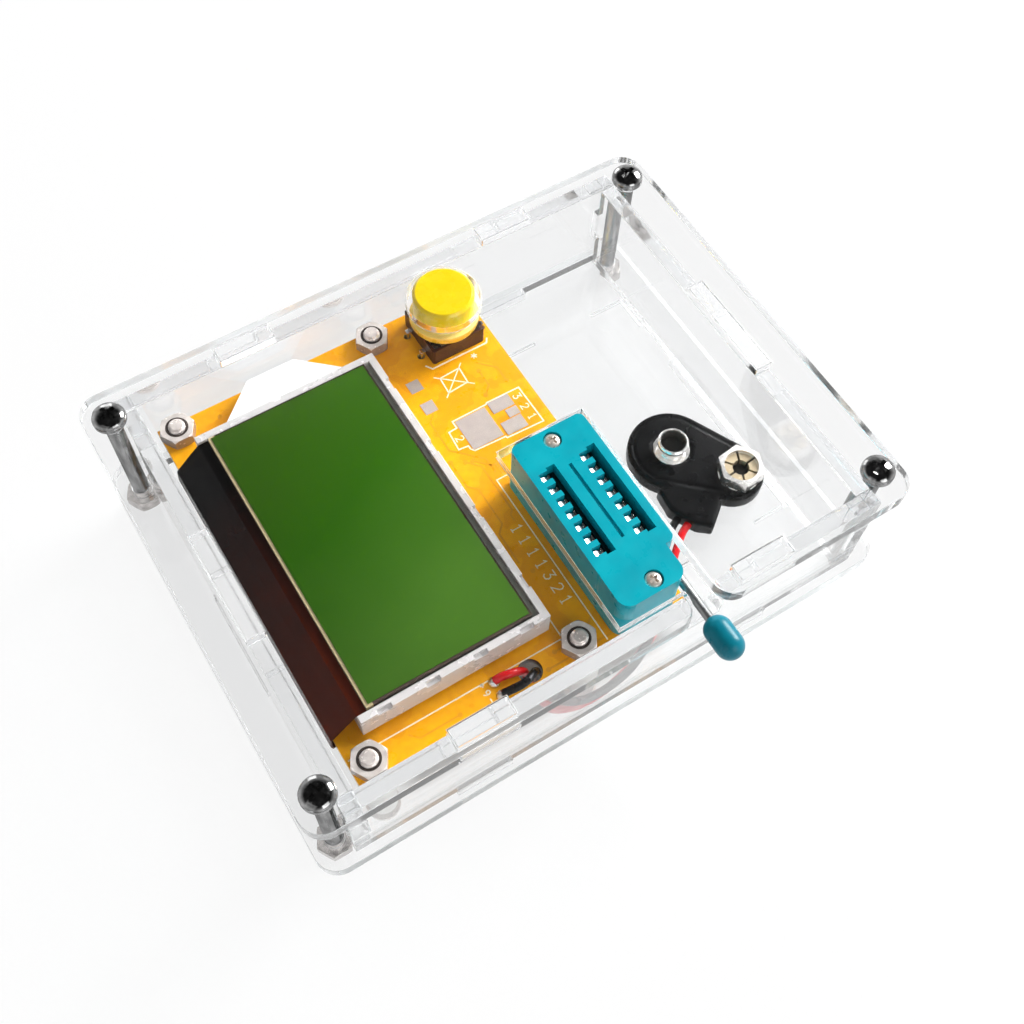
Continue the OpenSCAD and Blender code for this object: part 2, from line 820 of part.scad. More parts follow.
// The lever: a shaft across the socket with a cam lobe, and a rod to the front
module lever_rod() {
    shaft_l = lever_x + sock_w / 2 - 1.5 * cover_wall;
    reach = -knob_y0 + sock_mid_y + pivot_y;
    color("#b9bcc0") in_case() translate([sock_mid_x + lever_x, sock_mid_y + pivot_y, pivot_z]) {
        rotate([0, -90, 0]) cylinder(h = shaft_l, d = shaft_d);
        translate([-lever_x + lobe_x - lobe_l / 2, -lobe_off, 0])
            rotate([0, 90, 0]) cylinder(h = lobe_l, d = lobe_d);
        sphere(d = shaft_d);
        rotate([90, 0, 0]) cylinder(h = reach + knob_l / 2, d = rod_d);
    }
}

// A capsule on the end of the rod
module lever_knob() {
    r = knob_d / 2;
    arc = [for (a = [0:10:90]) [r * sin(a), -r * cos(a)]];
    grip = [for (p = arc) [p[0], p[1] + r]];
    tail = [for (i = [len(arc) - 1:-1:0]) [arc[i][0], knob_l - r - arc[i][1]]];
    color("#12a3b0") in_case() translate([sock_mid_x + lever_x, knob_y0, pivot_z])
        rotate([90, 0, 0]) difference() {
            rotate_extrude() polygon(concat(grip, tail));
            translate([0, 0, -cut])
                cylinder(h = knob_l / 2 + seat_gap + cut, r = rod_d / 2 + thread_fit);
        }
}

// ---- Push button ----

module switch_body() {
    color("#1b1512") on_board(switch_x, switch_y) difference() {
        linear_extrude(switch_h) rounded(switch_w, switch_w, 0.5);
        translate([0, 0, cavity_floor]) cylinder(h = switch_h, d = cavity_d);
    }
}

module switch_dome() {
    color("#d0d2d4") on_board(switch_x, switch_y, cavity_floor)
        cylinder(h = dome_t, d = dome_d);
}

module switch_cover() {
    color("#8a7f78") on_board(switch_x, switch_y, switch_h) {
        difference() {
            linear_extrude(cover_t) rounded(switch_w - 1, switch_w - 1, 0.5);
            translate([0, 0, -cut])
                cylinder(h = cover_t + 2 * cut, r = plunger_neck_d / 2 + run_gap);
        }
        four(rivet_x, rivet_x) cylinder(h = cover_t + rivet_h, d = rivet_d);
    }
}

module switch_terminals() {
    lift = 1;
    arm = terminal_x - switch_w / 2 - seat_gap;
    color("#d8d9da") on_board(switch_x, switch_y) each_terminal() {
        translate([-terminal_t / 2, -terminal_w / 2, -board_t - pin_l])
            cube([terminal_t, terminal_w, board_t + pin_l + lift + terminal_t]);
        translate([-arm, -terminal_w / 2, lift]) cube([arm, terminal_w, terminal_t]);
    }
}

module switch_plunger() {
    neck_top = cap_z + 0.4;
    flange_top = switch_h - run_gap;
    color("#2a2320") on_board(switch_x, switch_y) {
        translate([0, 0, plunger_z]) cylinder(h = flange_top - plunger_z, d = plunger_flange_d);
        translate([0, 0, plunger_z]) cylinder(h = neck_top - plunger_z, d = plunger_neck_d);
        translate([0, 0, neck_top]) block(post_w, post_w, post_top - neck_top);
    }
}

module button_cap() {
    edge = 0.5;
    tall = cap_top - cap_z;
    r = cap_d / 2;
    inside = r - cap_wall;
    color("#ffe21a") on_board(switch_x, switch_y, cap_z) difference() {
        rotate_extrude() polygon([
            [0, 0], [cap_flange_d / 2, 0], [cap_flange_d / 2, cap_flange_h], [r, cap_flange_h],
            [r, tall - edge], [r - edge, tall], [0, tall]]);
        // hollow round the boss
        translate([0, 0, -cut]) difference() {
            cylinder(h = tall - cap_roof, r = inside);
            cylinder(h = tall, d = boss_d);
        }
        translate([0, 0, -cut]) cylinder(h = 0.5 + cut, r = plunger_neck_d / 2 + seat_gap);
        translate([0, 0, -cut])
            block(post_w + 2 * thread_fit, post_w + 2 * thread_fit, post_top - cap_z + run_gap);
    }
}

// ---- Battery snap and its leads ----

module snap_place() {
    in_case() translate([snap_x, snap_y, inside_z]) rotate(snap_turn) children();
}

module snap_shell() {
    fillet = 0.5;
    color("#161616") difference() {
        union() {
            in_case() translate([0, 0, inside_z]) linear_extrude(snap_t) polygon(boot);
            snap_place() {
                hull() {
                    cylinder(h = snap_t - fillet, r = lobe_big_r, $fn = 40);
                    translate([stud_pitch - lobe_small_off, 0, 0])
                        cylinder(h = snap_t - fillet, r = lobe_small_r, $fn = 40);
                    cylinder(h = snap_t, r = lobe_big_r - fillet, $fn = 40);
                    translate([stud_pitch - lobe_small_off, 0, 0])
                        cylinder(h = snap_t, r = lobe_small_r - fillet, $fn = 40);
                }
            }
        }
        snap_place() translate([0, 0, snap_t - stud_base_t]) {
            cylinder(h = snap_t, r = male_base_d / 2 + seat_gap);
            translate([stud_pitch, 0, 0]) cylinder(h = snap_t, r = female_base_d / 2 + seat_gap);
        }
    }
}

// The round stud: a flanged cup with a rolled lip
module snap_male_stud() {
    r = male_d / 2;
    wall = 0.5;
    base = male_base_d / 2;
    color("#d9dadb") snap_place() translate([0, 0, snap_t - stud_base_t]) rotate_extrude()
        polygon([
            [0, 0], [base, 0], [base, stud_base_t], [r - 0.4, stud_base_t],
            [r - 0.4, male_h - 1.2], [r, male_h - 0.7], [r, male_h - 0.3], [r - 0.3, male_h],
            [r - wall, male_h], [r - wall - 0.3, stud_base_t + 0.4], [0, stud_base_t + 0.4]]);
}

// The hexagonal socket: a rim with six springs round its hole
module snap_female_stud() {
    color("#d9dadb") snap_place() translate([stud_pitch, 0, snap_t - stud_base_t]) {
        cylinder(h = stud_base_t, d = female_base_d);
        translate([0, 0, stud_base_t]) difference() {
            cylinder(h = female_h, r = female_af / sqrt(3), $fn = 6);
            translate([0, 0, spring_h]) cylinder(h = female_h, d = female_d);
            translate([0, 0, -cut]) cylinder(h = female_h, d = spring_gap_d);
            for (i = [0 : 2]) rotate(60 * i)
                translate([-female_d / 2, -spring_slot_w / 2, -cut])
                    cube([female_d, spring_slot_w, female_h]);
        }
    }
}

module red_lead() {
    color("#c8161d") in_case() cord(red_route, lead_d);
}

module black_lead() {
    color("#141414") in_case() cord(black_route, lead_d);
}

// A mound of solder on each lead's end
module lead_solder() {
    color("#c4c6c8") for (i = [0, 1]) on_board(solder_x, solder_y - i * solder_pitch)
        rotate_extrude() polygon([[0, 0], [solder_r, 0], [0.8 * solder_r, 0.5 * solder_r],
            [0.4 * solder_r, 0.85 * solder_r], [0, 0.95 * solder_r]]);
}

// ---- Parts under the board ----

module microcontroller() {
    color("#202124") under_board(mcu_x, mcu_y) {
        translate([0, 0, run_gap]) block(mcu_w, mcu_w, mcu_h);
        for (turn = [0:90:270], i = [0:mcu_side_n - 1]) rotate(turn)
            translate([mcu_w / 2 - cut, (i - (mcu_side_n - 1) / 2) * mcu_pitch - mcu_foot_w / 2, 0])
                cube([mcu_foot_l, mcu_foot_w, mcu_foot_w]);
    }
}

module crystal() {
    color("#c2c4c6") under_board(mcu_x, crystal_y) translate([0, 0, seat_gap]) {
        linear_extrude(crystal_h) rounded(crystal_l, crystal_w, crystal_w / 2 - cut);
        linear_extrude(crystal_rim_h)
            rounded(crystal_l + crystal_rim, crystal_w + crystal_rim, crystal_w / 2);
    }
}

module voltage_regulator() {
    color("#202124") under_board(reg_x, reg_y) {
        translate([0, 0, seat_gap]) block(reg_w, reg_d, reg_h);
        for (i = [-1:1]) translate([i * reg_pitch, -reg_d / 2, 0]) block(reg_foot, 2 * reg_foot, reg_foot);
        translate([0, reg_d / 2, 0]) block(reg_tab, 2 * reg_foot, reg_foot);
    }
}

module chip_row(y, tall) {
    for (i = [0:chip_n - 1])
        under_board(chip_x + i * chip_pitch, y) block(chip_l, chip_w, tall);
}

module capacitors() {
    color("#b08a5a") chip_row(capacitor_y, capacitor_h);
    color("#b9bcbe") under_board(reg_x, can_y) {
        block(can_d, can_d, can_base_h);
        cylinder(h = can_h, d = can_d - 2 * run_gap);
    }
}

module resistors() {
    color("#26282b") for (row = [0, 1])
        chip_row(resistor_y + row * resistor_step, resistor_h);
}

top_plate();
bottom_plate();
front_wall();
back_wall();
left_wall();
right_wall();
case_screws();
case_nuts();
circuit_board();
board_screws();
board_spacers();
board_nuts();
test_pads();
lcd_foam_pads();
lcd_backlight();
lcd_light_guide();
lcd_rear_glass();
lcd_front_glass();
lcd_flex_cable();
socket_base();
socket_slider();
socket_cover();
socket_contacts();
socket_screws();
lever_rod();
lever_knob();
switch_body();
switch_dome();
switch_cover();
switch_terminals();
switch_plunger();
button_cap();
snap_shell();
snap_male_stud();
snap_female_stud();
red_lead();
black_lead();
lead_solder();
microcontroller();
crystal();
voltage_regulator();
capacitors();
resistors();
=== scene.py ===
import math
import bmesh
import bpy
from mathutils import Matrix, Vector


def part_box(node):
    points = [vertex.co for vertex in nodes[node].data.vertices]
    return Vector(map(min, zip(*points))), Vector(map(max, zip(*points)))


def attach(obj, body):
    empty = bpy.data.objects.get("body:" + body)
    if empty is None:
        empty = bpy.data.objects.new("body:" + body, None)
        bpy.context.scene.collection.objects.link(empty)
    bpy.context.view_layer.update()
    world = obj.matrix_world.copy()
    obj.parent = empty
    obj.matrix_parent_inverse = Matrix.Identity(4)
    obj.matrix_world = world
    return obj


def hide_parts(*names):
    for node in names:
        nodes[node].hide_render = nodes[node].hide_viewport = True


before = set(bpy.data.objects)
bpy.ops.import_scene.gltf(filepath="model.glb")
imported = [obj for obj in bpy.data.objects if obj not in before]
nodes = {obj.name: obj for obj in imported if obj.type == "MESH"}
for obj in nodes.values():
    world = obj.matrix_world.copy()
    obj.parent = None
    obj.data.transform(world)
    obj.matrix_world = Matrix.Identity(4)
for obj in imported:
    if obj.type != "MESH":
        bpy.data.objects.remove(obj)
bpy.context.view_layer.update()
MM = 0.001

# Lengths below are in mm, and places are in the case's own frame: its middle in X and Y, and the
# standing surface in Z. The row's frame has the case CASE_Y further back.
CASE_Y = 3.55
BASE_LOW, LID_TOP = 2.4, 28.4           # the underside of the bottom plate, the lid's upper face
BOARD_X, BOARD_Y = -14.5, 0.85          # the board's middle
BOARD_LOW, BOARD_TOP = 15.4, 17.0
WIRE_HOLE, WIRE_HOLE_D = (-13.0, -32.7), 4.0    # where the leads come up through the board
CASE_SCREWS = 50.75, 36                 # the corner screws, each side of the case's middle
BOARD_SCREWS_X = BOARD_X - 8.25         # the middle of the board's four screws,
BOARD_SCREWS = 18.7, 33.55              # and how far each one is from it and from BOARD_Y
SCREW_R = 1.5
SOCKET_X, SOCKET_Y = BOARD_X + 23, BOARD_Y - 19.65      # the test socket's middle
SOCKET_TOP = BOARD_TOP + 12.4
PIN_PITCH = 2.54
PINS = [(SOCKET_X + row * 1.5 * PIN_PITCH, SOCKET_Y + 1.6 + (i - 3) * PIN_PITCH)
        for row in (-1, 1) for i in range(7)]
SWITCH_X, SWITCH_Y = BOARD_X + 22.75, BOARD_Y + 29.15   # the push button's middle
SWITCH_PINS = [(SWITCH_X + sx * 6.25, SWITCH_Y + sy * 2.5) for sx in (-1, 1) for sy in (-1, 1)]
LEAD_D = 1.4


# ---- Camera: solved from the photograph ----

AZIMUTH, ELEVATION, ROLL = (math.radians(angle) for angle in (-35.086, 62.029, 3.704))
FOCAL_PX, PHOTO_PX = 1263.25, 1024
CAMERA_AT = -57.363, -88.139, 201.559 + BASE_LOW


def make_camera():
    back = Vector((math.sin(AZIMUTH) * math.cos(ELEVATION),
                   -math.cos(AZIMUTH) * math.cos(ELEVATION), math.sin(ELEVATION)))
    right = Vector((0, 0, 1)).cross(back).normalized()
    up = back.cross(right)
    right, up = (right * math.cos(ROLL) + up * math.sin(ROLL),
                 up * math.cos(ROLL) - right * math.sin(ROLL))
    data = bpy.data.cameras.new("camera")
    data.sensor_width = 36
    data.lens = data.sensor_width * FOCAL_PX / PHOTO_PX
    data.clip_start, data.clip_end = 0.01, 20
    camera = bpy.data.objects.new("camera", data)
    place = Vector(CAMERA_AT) + Vector((0, CASE_Y, 0))
    camera.matrix_world = (Matrix.Translation(place * MM)
                           @ Matrix((right, up, back)).transposed().to_4x4())
    bpy.context.collection.objects.link(camera)
    bpy.context.scene.camera = camera


# ---- Node materials ----

def srgb(r, g, b):
    """An 8-bit screen colour as linear RGBA."""
    return tuple([(c / 12.92 if c <= 0.04045 else ((c + 0.055) / 1.055) ** 2.4)
                  for c in (r / 255, g / 255, b / 255)] + [1])


class Graph:
    """A material's node tree, with short ways to add nodes and links."""

    def __init__(self, name):
        self.mat = bpy.data.materials.new(name)
        self.mat.use_nodes = True
        self.tree = self.mat.node_tree
        self.tree.nodes.clear()
        self.out = self.tree.nodes.new("ShaderNodeOutputMaterial")
        self.coords = None

    def add(self, kind, settings=(), **sockets):
        """A node; a socket is given by its name, or as i and its number."""
        n = self.tree.nodes.new("ShaderNode" + kind)
        for key, value in dict(settings).items():
            setattr(n, key, value)
        for key, value in sockets.items():
            self.put(n, key.replace("_", " "), value)
        return n

    def put(self, n, key, value):
        socket = n.inputs[int(key[1:])] if key[0] == "i" and key[1:].isdigit() else n.inputs[key]
        if isinstance(value, bpy.types.NodeSocket):
            self.tree.links.new(value, socket)
        else:
            socket.default_value = value

    def place(self):
        """The place on the object, in metres."""
        if self.coords is None:
            self.coords = self.add("TexCoord").outputs["Object"]
        return self.coords

    def axis(self, vector, i):
        return self.add("SeparateXYZ", Vector=vector).outputs[i]

    def at(self, i):
        """The place along one axis, in metres."""
        return self.axis(self.place(), i)

    def normal(self, i):
        return self.axis(self.add("NewGeometry").outputs["Normal"], i)

    def noise(self, size, detail=3.0, rough=0.5, stretch=None):
        """Noise whose features are about size mm across."""
        at = self.place()
        if stretch:
            at = self.add("Mapping", Vector=at, Scale=stretch).outputs[0]
        return self.add("TexNoise", Vector=at, Scale=1000 / size, Detail=detail,
                        Roughness=rough).outputs["Fac"]

    def span(self, value, low, high, to_low, to_high):
        n = self.add("MapRange", i0=value)
        for i, v in enumerate((low, high, to_low, to_high)):
            n.inputs[i + 1].default_value = v
        return n.outputs[0]

    def uneven(self, size, low, high, **noise):
        """A value that drifts between low and high in patches of about size mm."""
        return self.span(self.noise(size, **noise), 0.3, 0.7, low, high)

    def clouds(self, size, a, b, **noise):
        """A colour that drifts between a and b in patches of about size mm."""
        return self.mix(self.uneven(size, 0, 1, **noise), a, b)

    def mix(self, fac, a, b):
        n = self.add("Mix", {"data_type": "RGBA"})
        for i, v in ((0, fac), (6, a), (7, b)):
            self.put(n, f"i{i}", v)
        return n.outputs[2]

    def blend(self, fac, a, b):
        """Two shader nodes mixed."""
        return self.add("MixShader", i0=fac, i1=a.outputs[0], i2=b.outputs[0])

    def ramp(self, fac, *stops):
        n = self.add("ValToRGB", Fac=fac)
        e = n.color_ramp.elements
        while len(e) < len(stops):
            e.new(0.5)
        for i, (at, colour) in enumerate(stops):
            e[i].position = at
            e[i].color = colour
        return n.outputs[0]

    def math(self, op, a, b=0.0):
        return self.add("Math", {"operation": op}, i0=a, i1=b).outputs[0]

    def less(self, a, b):
        return self.math("LESS_THAN", a, b)

    def more(self, a, b):
        return self.math("GREATER_THAN", a, b)

    def times(self, a, b):
        return self.math("MULTIPLY", a, b)

    def most(self, a, b):
        return self.math("MAXIMUM", a, b)

    def off(self, value, middle):
        """How far a value is from a middle, either way."""
        return self.math("ABSOLUTE", self.math("SUBTRACT", value, middle))

    def away(self, x, y):
        """The length of (x, y)."""
        return self.math("SQRT", self.math("ADD", self.times(x, x), self.times(y, y)))

    def bump(self, height, depth, strength=1.0):
        """Bump of depth mm."""
        return self.add("Bump", Height=height, Distance=depth * MM, Strength=strength).outputs[0]

    def surface(self, colour, rough, normal, **fixed):
        p = self.add("BsdfPrincipled", Base_Color=colour, Roughness=rough, Normal=normal, **fixed)
        self.finish(p)
        return p

    def finish(self, shader):
        self.tree.links.new(shader.outputs[0], self.out.inputs[0])
        return self.mat


def tint(c, k):
    return (c[0] * k, c[1] * k, c[2] * k, 1)


def plastic(name, colour, rough=0.35, grain=0.4, depth=0.004, vary=0.08, **fixed):
    """Moulded plastic: a slightly uneven colour and sheen, and a fine grain."""
    g = Graph(name)
    c = g.clouds(4.0, tint(colour, 1 - vary), tint(colour, 1 + vary), detail=2.0)
    g.surface(c, g.uneven(1.5, rough - 0.05, rough + 0.07), g.bump(g.noise(grain), depth), **fixed)
    return g.mat


def metal(name, colour, rough=0.2, brushed=None, vary=0.12, grain=0.25, depth=0.003, metallic=1.0):
    """Metal with clouded colour and sheen; brushed stretches both and the grain."""
    g = Graph(name)
    c = g.clouds(1.2, tint(colour, 1 - vary), tint(colour, 1 + vary * 0.6), stretch=brushed)
    r = g.uneven(0.6, rough - 0.06, rough + 0.1, detail=4.0, stretch=brushed)
    g.surface(c, r, g.bump(g.noise(grain, stretch=brushed), depth), Metallic=metallic)
    return g.mat


def nut_metal():
    """Nickel nuts over the board, with painted shade: dark in a ring round the screw's thread, and
    darker on the side and lower faces.
    """
    g = Graph("nut_metal")
    middle = BOARD_SCREWS_X, BOARD_Y + CASE_Y
    u, v = (g.math("SUBTRACT", g.off(g.at(i), middle[i] * MM), BOARD_SCREWS[i] * MM)
            for i in (0, 1))
    # painted shade: the ring round the screw's thread is darkened
    painted_thread_shade = g.less(g.away(u, v), (SCREW_R + 0.45) * MM)
    # painted shade: faces turned to the side or downwards are darkened half way
    flat = g.less(g.normal(2), 0.4)
    c = g.clouds(1.2, (0.74, 0.66, 0.62, 1), (0.9, 0.83, 0.79, 1))
    c = g.mix(g.most(painted_thread_shade, g.times(flat, 0.55)), c, (0.06, 0.045, 0.04, 1))
    g.surface(c, g.uneven(0.6, 0.16, 0.28), g.bump(g.noise(0.25), 0.003), Metallic=0.4)
    return g.mat


def rim_and_frost(g, edge, chamfer):
    """For the two plates: the band at the left edge of the lid's window, tinted a warm pale yellow
    as a painted glow of the board's light carried along the cut edge, and how frosted each place is
    by it and by the plates' outer edges (all round the bottom plate, at the back of the lid)."""
    lo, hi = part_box("socket_cover")
    right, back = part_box("top_plate")[1][:2]
    x, y, z = (g.at(i) for i in range(3))
    inset = 0.4 * MM                # how far in from its edge a plate counts as edge
    beside = g.less(g.off(x, lo[0] - 1.7 * MM), inset)
    along = g.less(g.off(y, (lo[1] + hi[1]) / 2), (hi[1] - lo[1]) / 2 + 1.2 * MM)
    # painted light: the band beside the window's left edge, where a warm glow is painted
    cream = g.times(beside, along)
    low = g.less(z, LID_TOP / 2 * MM)
    outer = g.most(g.more(g.off(y, CASE_Y * MM), back - CASE_Y * MM - inset),
                   g.more(g.math("ABSOLUTE", x), right - inset))
    frosted = g.times(edge, g.most(g.more(y, back - inset), g.times(low, outer)))
    cloudy = g.times(cream, g.most(g.times(edge, 0.35), chamfer))
    return cream, g.most(cloudy, g.times(frosted, 0.8))


def acrylic(name, axis):
    """Clear sheet whose faces look along an axis: polished faces, streaked laser-cut edges,
    and chamfers that scatter light, which is what shows the sheet's outline."""
    g = Graph(name)
    facing = [g.math("ABSOLUTE", g.normal(i)) for i in range(3)]
    edge = g.less(facing[axis], 0.5)
    if axis == 2:
        chamfer = g.times(g.more(facing[2], 0.25), g.less(facing[2], 0.95))
        grain = (900, 900, 30)      # streaks along the laser's cut
    else:
        chamfer = g.less(g.most(facing[0], g.most(facing[1], facing[2])), 0.95)
        grain = (300, 300, 300)
    rough = g.math("ADD", g.times(edge, 0.1), g.span(g.noise(9), 0.3, 0.8, 0.0, 0.015))
    cut = g.add("Mapping", Vector=g.place(), Scale=grain)
    streak = g.add("TexNoise", Vector=cut.outputs[0], Scale=3.0, Detail=2.0).outputs["Fac"]
    height = g.math("ADD", g.times(edge, streak), g.times(g.noise(18, 1.0), 0.1))
    colour = g.mix(edge, (0.966, 0.968, 0.97, 1), (0.95, 0.955, 0.96, 1))
    p = g.surface(colour, rough, g.bump(height, 0.02, 0.3), IOR=1.49, Transmission_Weight=1.0)

    pale = (0.85, 0.86, 0.87, 1)
    near = g.add("BsdfDiffuse", Color=pale)
    beyond = g.add("BsdfTranslucent", Color=(0.9, 0.91, 0.92, 1))
    cloudy = g.times(chamfer, 0.5)
    if axis == 2:
        cream, frost = rim_and_frost(g, edge, chamfer)
        # painted light: the band is tinted warm, a painted glow of the board's light along the cut
        # edge
        g.put(near, "Color", g.mix(cream, pale, (0.95, 0.88, 0.7, 1)))
        cloudy = g.most(cloudy, frost)
    frosted = g.blend(cloudy, p, g.blend(0.6, near, beyond))
    # lamps shine through a sheet as through plain tinted air, which keeps shadows clean
    clear = g.add("BsdfTransparent", Color=(0.93, 0.94, 0.94, 1))
    return g.finish(g.blend(g.add("LightPath").outputs["Is Shadow Ray"], frosted, clear))


def board_mask():
    """Orange solder mask on the faces, pale laminate on the cut edges, and painted shade making the
    wire hole's wall dark.
    """
    g = Graph("board_mask")
    edge = g.less(g.math("ABSOLUTE", g.normal(2)), 0.5)
    pour = g.more(g.noise(7, 2.0), 0.47)
    mask = g.mix(pour, srgb(240, 160, 0), srgb(248, 172, 3))
    mask = g.mix(g.span(g.noise(1.2), 0.35, 0.65, 0, 0.35), mask, srgb(232, 148, 4))
    hole = WIRE_HOLE[0], WIRE_HOLE[1] + CASE_Y
    away = g.away(*(g.math("SUBTRACT", g.at(i), hole[i] * MM) for i in (0, 1)))
    # painted shade: the edge faces round the wire hole are dark, standing for the shade inside the
    # hole
    cut = g.mix(g.less(away, (WIRE_HOLE_D / 2 + 0.3) * MM), srgb(214, 186, 120), srgb(34, 20, 10))
    height = g.math("ADD", g.times(pour, 0.5), g.noise(0.5))
    g.surface(g.mix(edge, mask, cut), g.uneven(2, 0.26, 0.38), g.bump(height, 0.01),
              Specular_IOR_Level=0.3, Coat_Weight=0.12, Coat_Roughness=0.2)
    return g.mat


def display_green():
    """The display's green: a little yellower in one corner."""
    g = Graph("display_green")
    lo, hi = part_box("lcd_front_glass")
    x, y = (g.span(g.at(i), lo[i], hi[i], 0, 1) for i in (0, 1))
    drift = g.math("ADD", g.times(x, -0.25), y)
    c = g.ramp(g.math("ADD", drift, g.span(g.noise(16, 1.0), 0, 1, -0.12, 0.12)),
               (0.0, srgb(62, 100, 30)), (0.45, srgb(38, 81, 5)), (1.0, srgb(46, 80, 6)))
    g.surface(c, g.uneven(6, 0.1, 0.16), g.bump(g.noise(20, 1.0), 0.01, 0.3),
              Specular_IOR_Level=0.15)
    return g.mat


def flex_film():
    """The display's dark tail: brown at the front, going black at the back, where the black is a
    painted dark reflection, with fine lines across.
    """
    g = Graph("flex_film")
    lo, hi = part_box("lcd_flex_cable")
    y = g.span(g.at(1), lo[1], hi[1], 0, 1)
    # painted reflection: the ramp's black end at the back stands for a dark reflection on the film
    c = g.ramp(g.math("ADD", y, g.span(g.noise(5), 0, 1, -0.15, 0.15)),
               (0.0, srgb(74, 22, 4)), (0.45, srgb(42, 10, 2)), (0.85, srgb(3, 2, 2)))
    lines = g.add("TexWave", {"bands_direction": "Y"}, Vector=g.place(), Scale=320.0)
    g.surface(c, g.uneven(6, 0.2, 0.26), g.bump(lines.outputs["Fac"], 0.004, 0.3),
              Specular_IOR_Level=0.1)
    return g.mat


def clear_white(name, colour, through, rough):
    """A milky clear plastic."""
    g = Graph(name)
    g.surface(g.clouds(3, tint(colour, 0.94), colour), g.uneven(4, rough, rough + 0.08),
              g.bump(g.noise(3), 0.002), IOR=1.49, Transmission_Weight=through)
    return g.mat


# ---- Making pieces ----

def shade(bm, sharp=35):
    """Smooth faces, with an edge kept sharp where its faces turn by more than sharp degrees."""
    for f in bm.faces:
        f.smooth = True
    for e in bm.edges:
        e.smooth = len(e.link_faces) == 2 and e.calc_face_angle(3.2) < math.radians(sharp)


def show(name, bm, finish, body="case", sharp=35):
    """A new object from a bmesh in metres, in the row's frame."""
    shade(bm, sharp)
    mesh = bpy.data.meshes.new(name)
    bm.to_mesh(mesh)
    bm.free()
    mesh.materials.append(M[finish])
    ob = bpy.data.objects.new(name, mesh)
    bpy.context.collection.objects.link(ob)
    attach(ob, body)
    return ob


def built(parts):
    """A bmesh from (points, faces) in mm in the case's frame."""
    bm = bmesh.new()
    for points, faces in parts:
        vs = [bm.verts.new((x * MM, (y + CASE_Y) * MM, z * MM)) for x, y, z in points]
        for f in faces:
            bm.faces.new([vs[i] for i in f])
    bmesh.ops.recalc_face_normals(bm, faces=bm.faces)
    return bm


def lathe(profile, n, at):
    """A profile of (radius, height) turned round Z; an end on the axis closes it, any other
    is capped."""
    points, rings, faces = [], [], []
    for r, z in profile:
        if r < 1e-6:
            rings.append([len(points)] * n)
            points.append((0, 0, z))
        else:
            rings.append([len(points) + i for i in range(n)])
            points += [(r * math.cos(2 * math.pi * i / n), r * math.sin(2 * math.pi * i / n), z)
                       for i in range(n)]
    for a, b in zip(rings, rings[1:]):
        for i in range(n):
            j = (i + 1) % n
            corner = [a[i], a[j], b[j], b[i]]
            faces.append(tuple(dict.fromkeys(corner)))
    for ring in (rings[0], rings[-1]):
        if len(set(ring)) > 1:
            faces.append(tuple(ring))
    return [tuple(p[k] + at[k] for k in range(3)) for p in points], faces


def threaded(z0, z1, x, y):
    """A closed M3 rod with a real V thread, which narrows over tip mm at its free end z0."""
    depth, pitch, tip, n = 0.2, 0.5, 0.45, 20
    rows = int(abs(z1 - z0) / pitch * 4)
    points, faces = [], []
    for j in range(rows + 1):
        z = z0 + (z1 - z0) * j / rows
        taper = max(0.0, tip - abs(z - z0)) * 0.9
        for i in range(n):
            a = 2 * math.pi * i / n
            wave = abs(2 * ((z / pitch - i / n) % 1) - 1)
            r = SCREW_R - depth * wave - taper
            points.append((x + r * math.cos(a), y + r * math.sin(a), z))
    for j in range(rows):
        for i in range(n):
            k = (i + 1) % n
            faces.append((j * n + i, j * n + k, (j + 1) * n + k, (j + 1) * n + i))
    faces += [tuple(range(n)), tuple(range(rows * n, rows * n + n))]
    return points, faces


def ribbon(line, width, z, thick, closed=False):
    """A thin flat strip along a line of (x, y), with mitred corners."""
    pts = [Vector(p) for p in line]
    n = len(pts)
    sides = []
    for i, p in enumerate(pts):
        before = pts[i - 1] if i or closed else None
        after = pts[(i + 1) % n] if i < n - 1 or closed else None
        d1 = (p - before).normalized() if before is not None else None
        d2 = (after - p).normalized() if after is not None else None
        d1, d2 = d1 or d2, d2 or d1
        n1, n2 = Vector((-d1.y, d1.x)), Vector((-d2.y, d2.x))
        mitre = (n1 + n2).normalized()
        reach = width / 2 / max(0.45, mitre.dot(n1))
        sides.append((p + mitre * reach, p - mitre * reach))
    points = [(q.x, q.y, h) for h in (z, z + thick) for pair in sides for q in pair]
    m, faces = 2 * n, []
    for i in range(n if closed else n - 1):
        a, b, c, d = 2 * i, 2 * i + 1, (2 * i + 3) % m, (2 * i + 2) % m
        faces += [(a, b, c, d), (a + m, b + m, c + m, d + m),
                  (a, d, d + m, a + m), (b, c, c + m, b + m)]
    if not closed:
        faces += [(0, 1, 1 + m, m), (m - 2, m - 1, 2 * m - 1, 2 * m - 2)]
    return points, faces


def copy_of(*names):
    """A welded bmesh of CAD nodes, with their flat faces whole."""
    bm = bmesh.new()
    for name in names:
        bm.from_mesh(nodes[name].data)
    bmesh.ops.remove_doubles(bm, verts=bm.verts, dist=2e-6)
    bmesh.ops.dissolve_limit(bm, angle_limit=math.radians(0.4), verts=bm.verts, edges=bm.edges)
    return bm


def draw_in(bm, amount):
    """Moves every face inwards by amount mm."""
    moves = {}
    for v in bm.verts:
        normals = []
        for f in v.link_faces:
            if all(f.normal.dot(k) < 0.985 for k in normals):
                normals.append(f.normal.copy())
        move = Vector()
        for _ in range(12):
            for k in normals:
                move -= k * (move.dot(k) + amount * MM) * 0.9
        moves[v] = move
    for v, move in moves.items():
        v.co += move


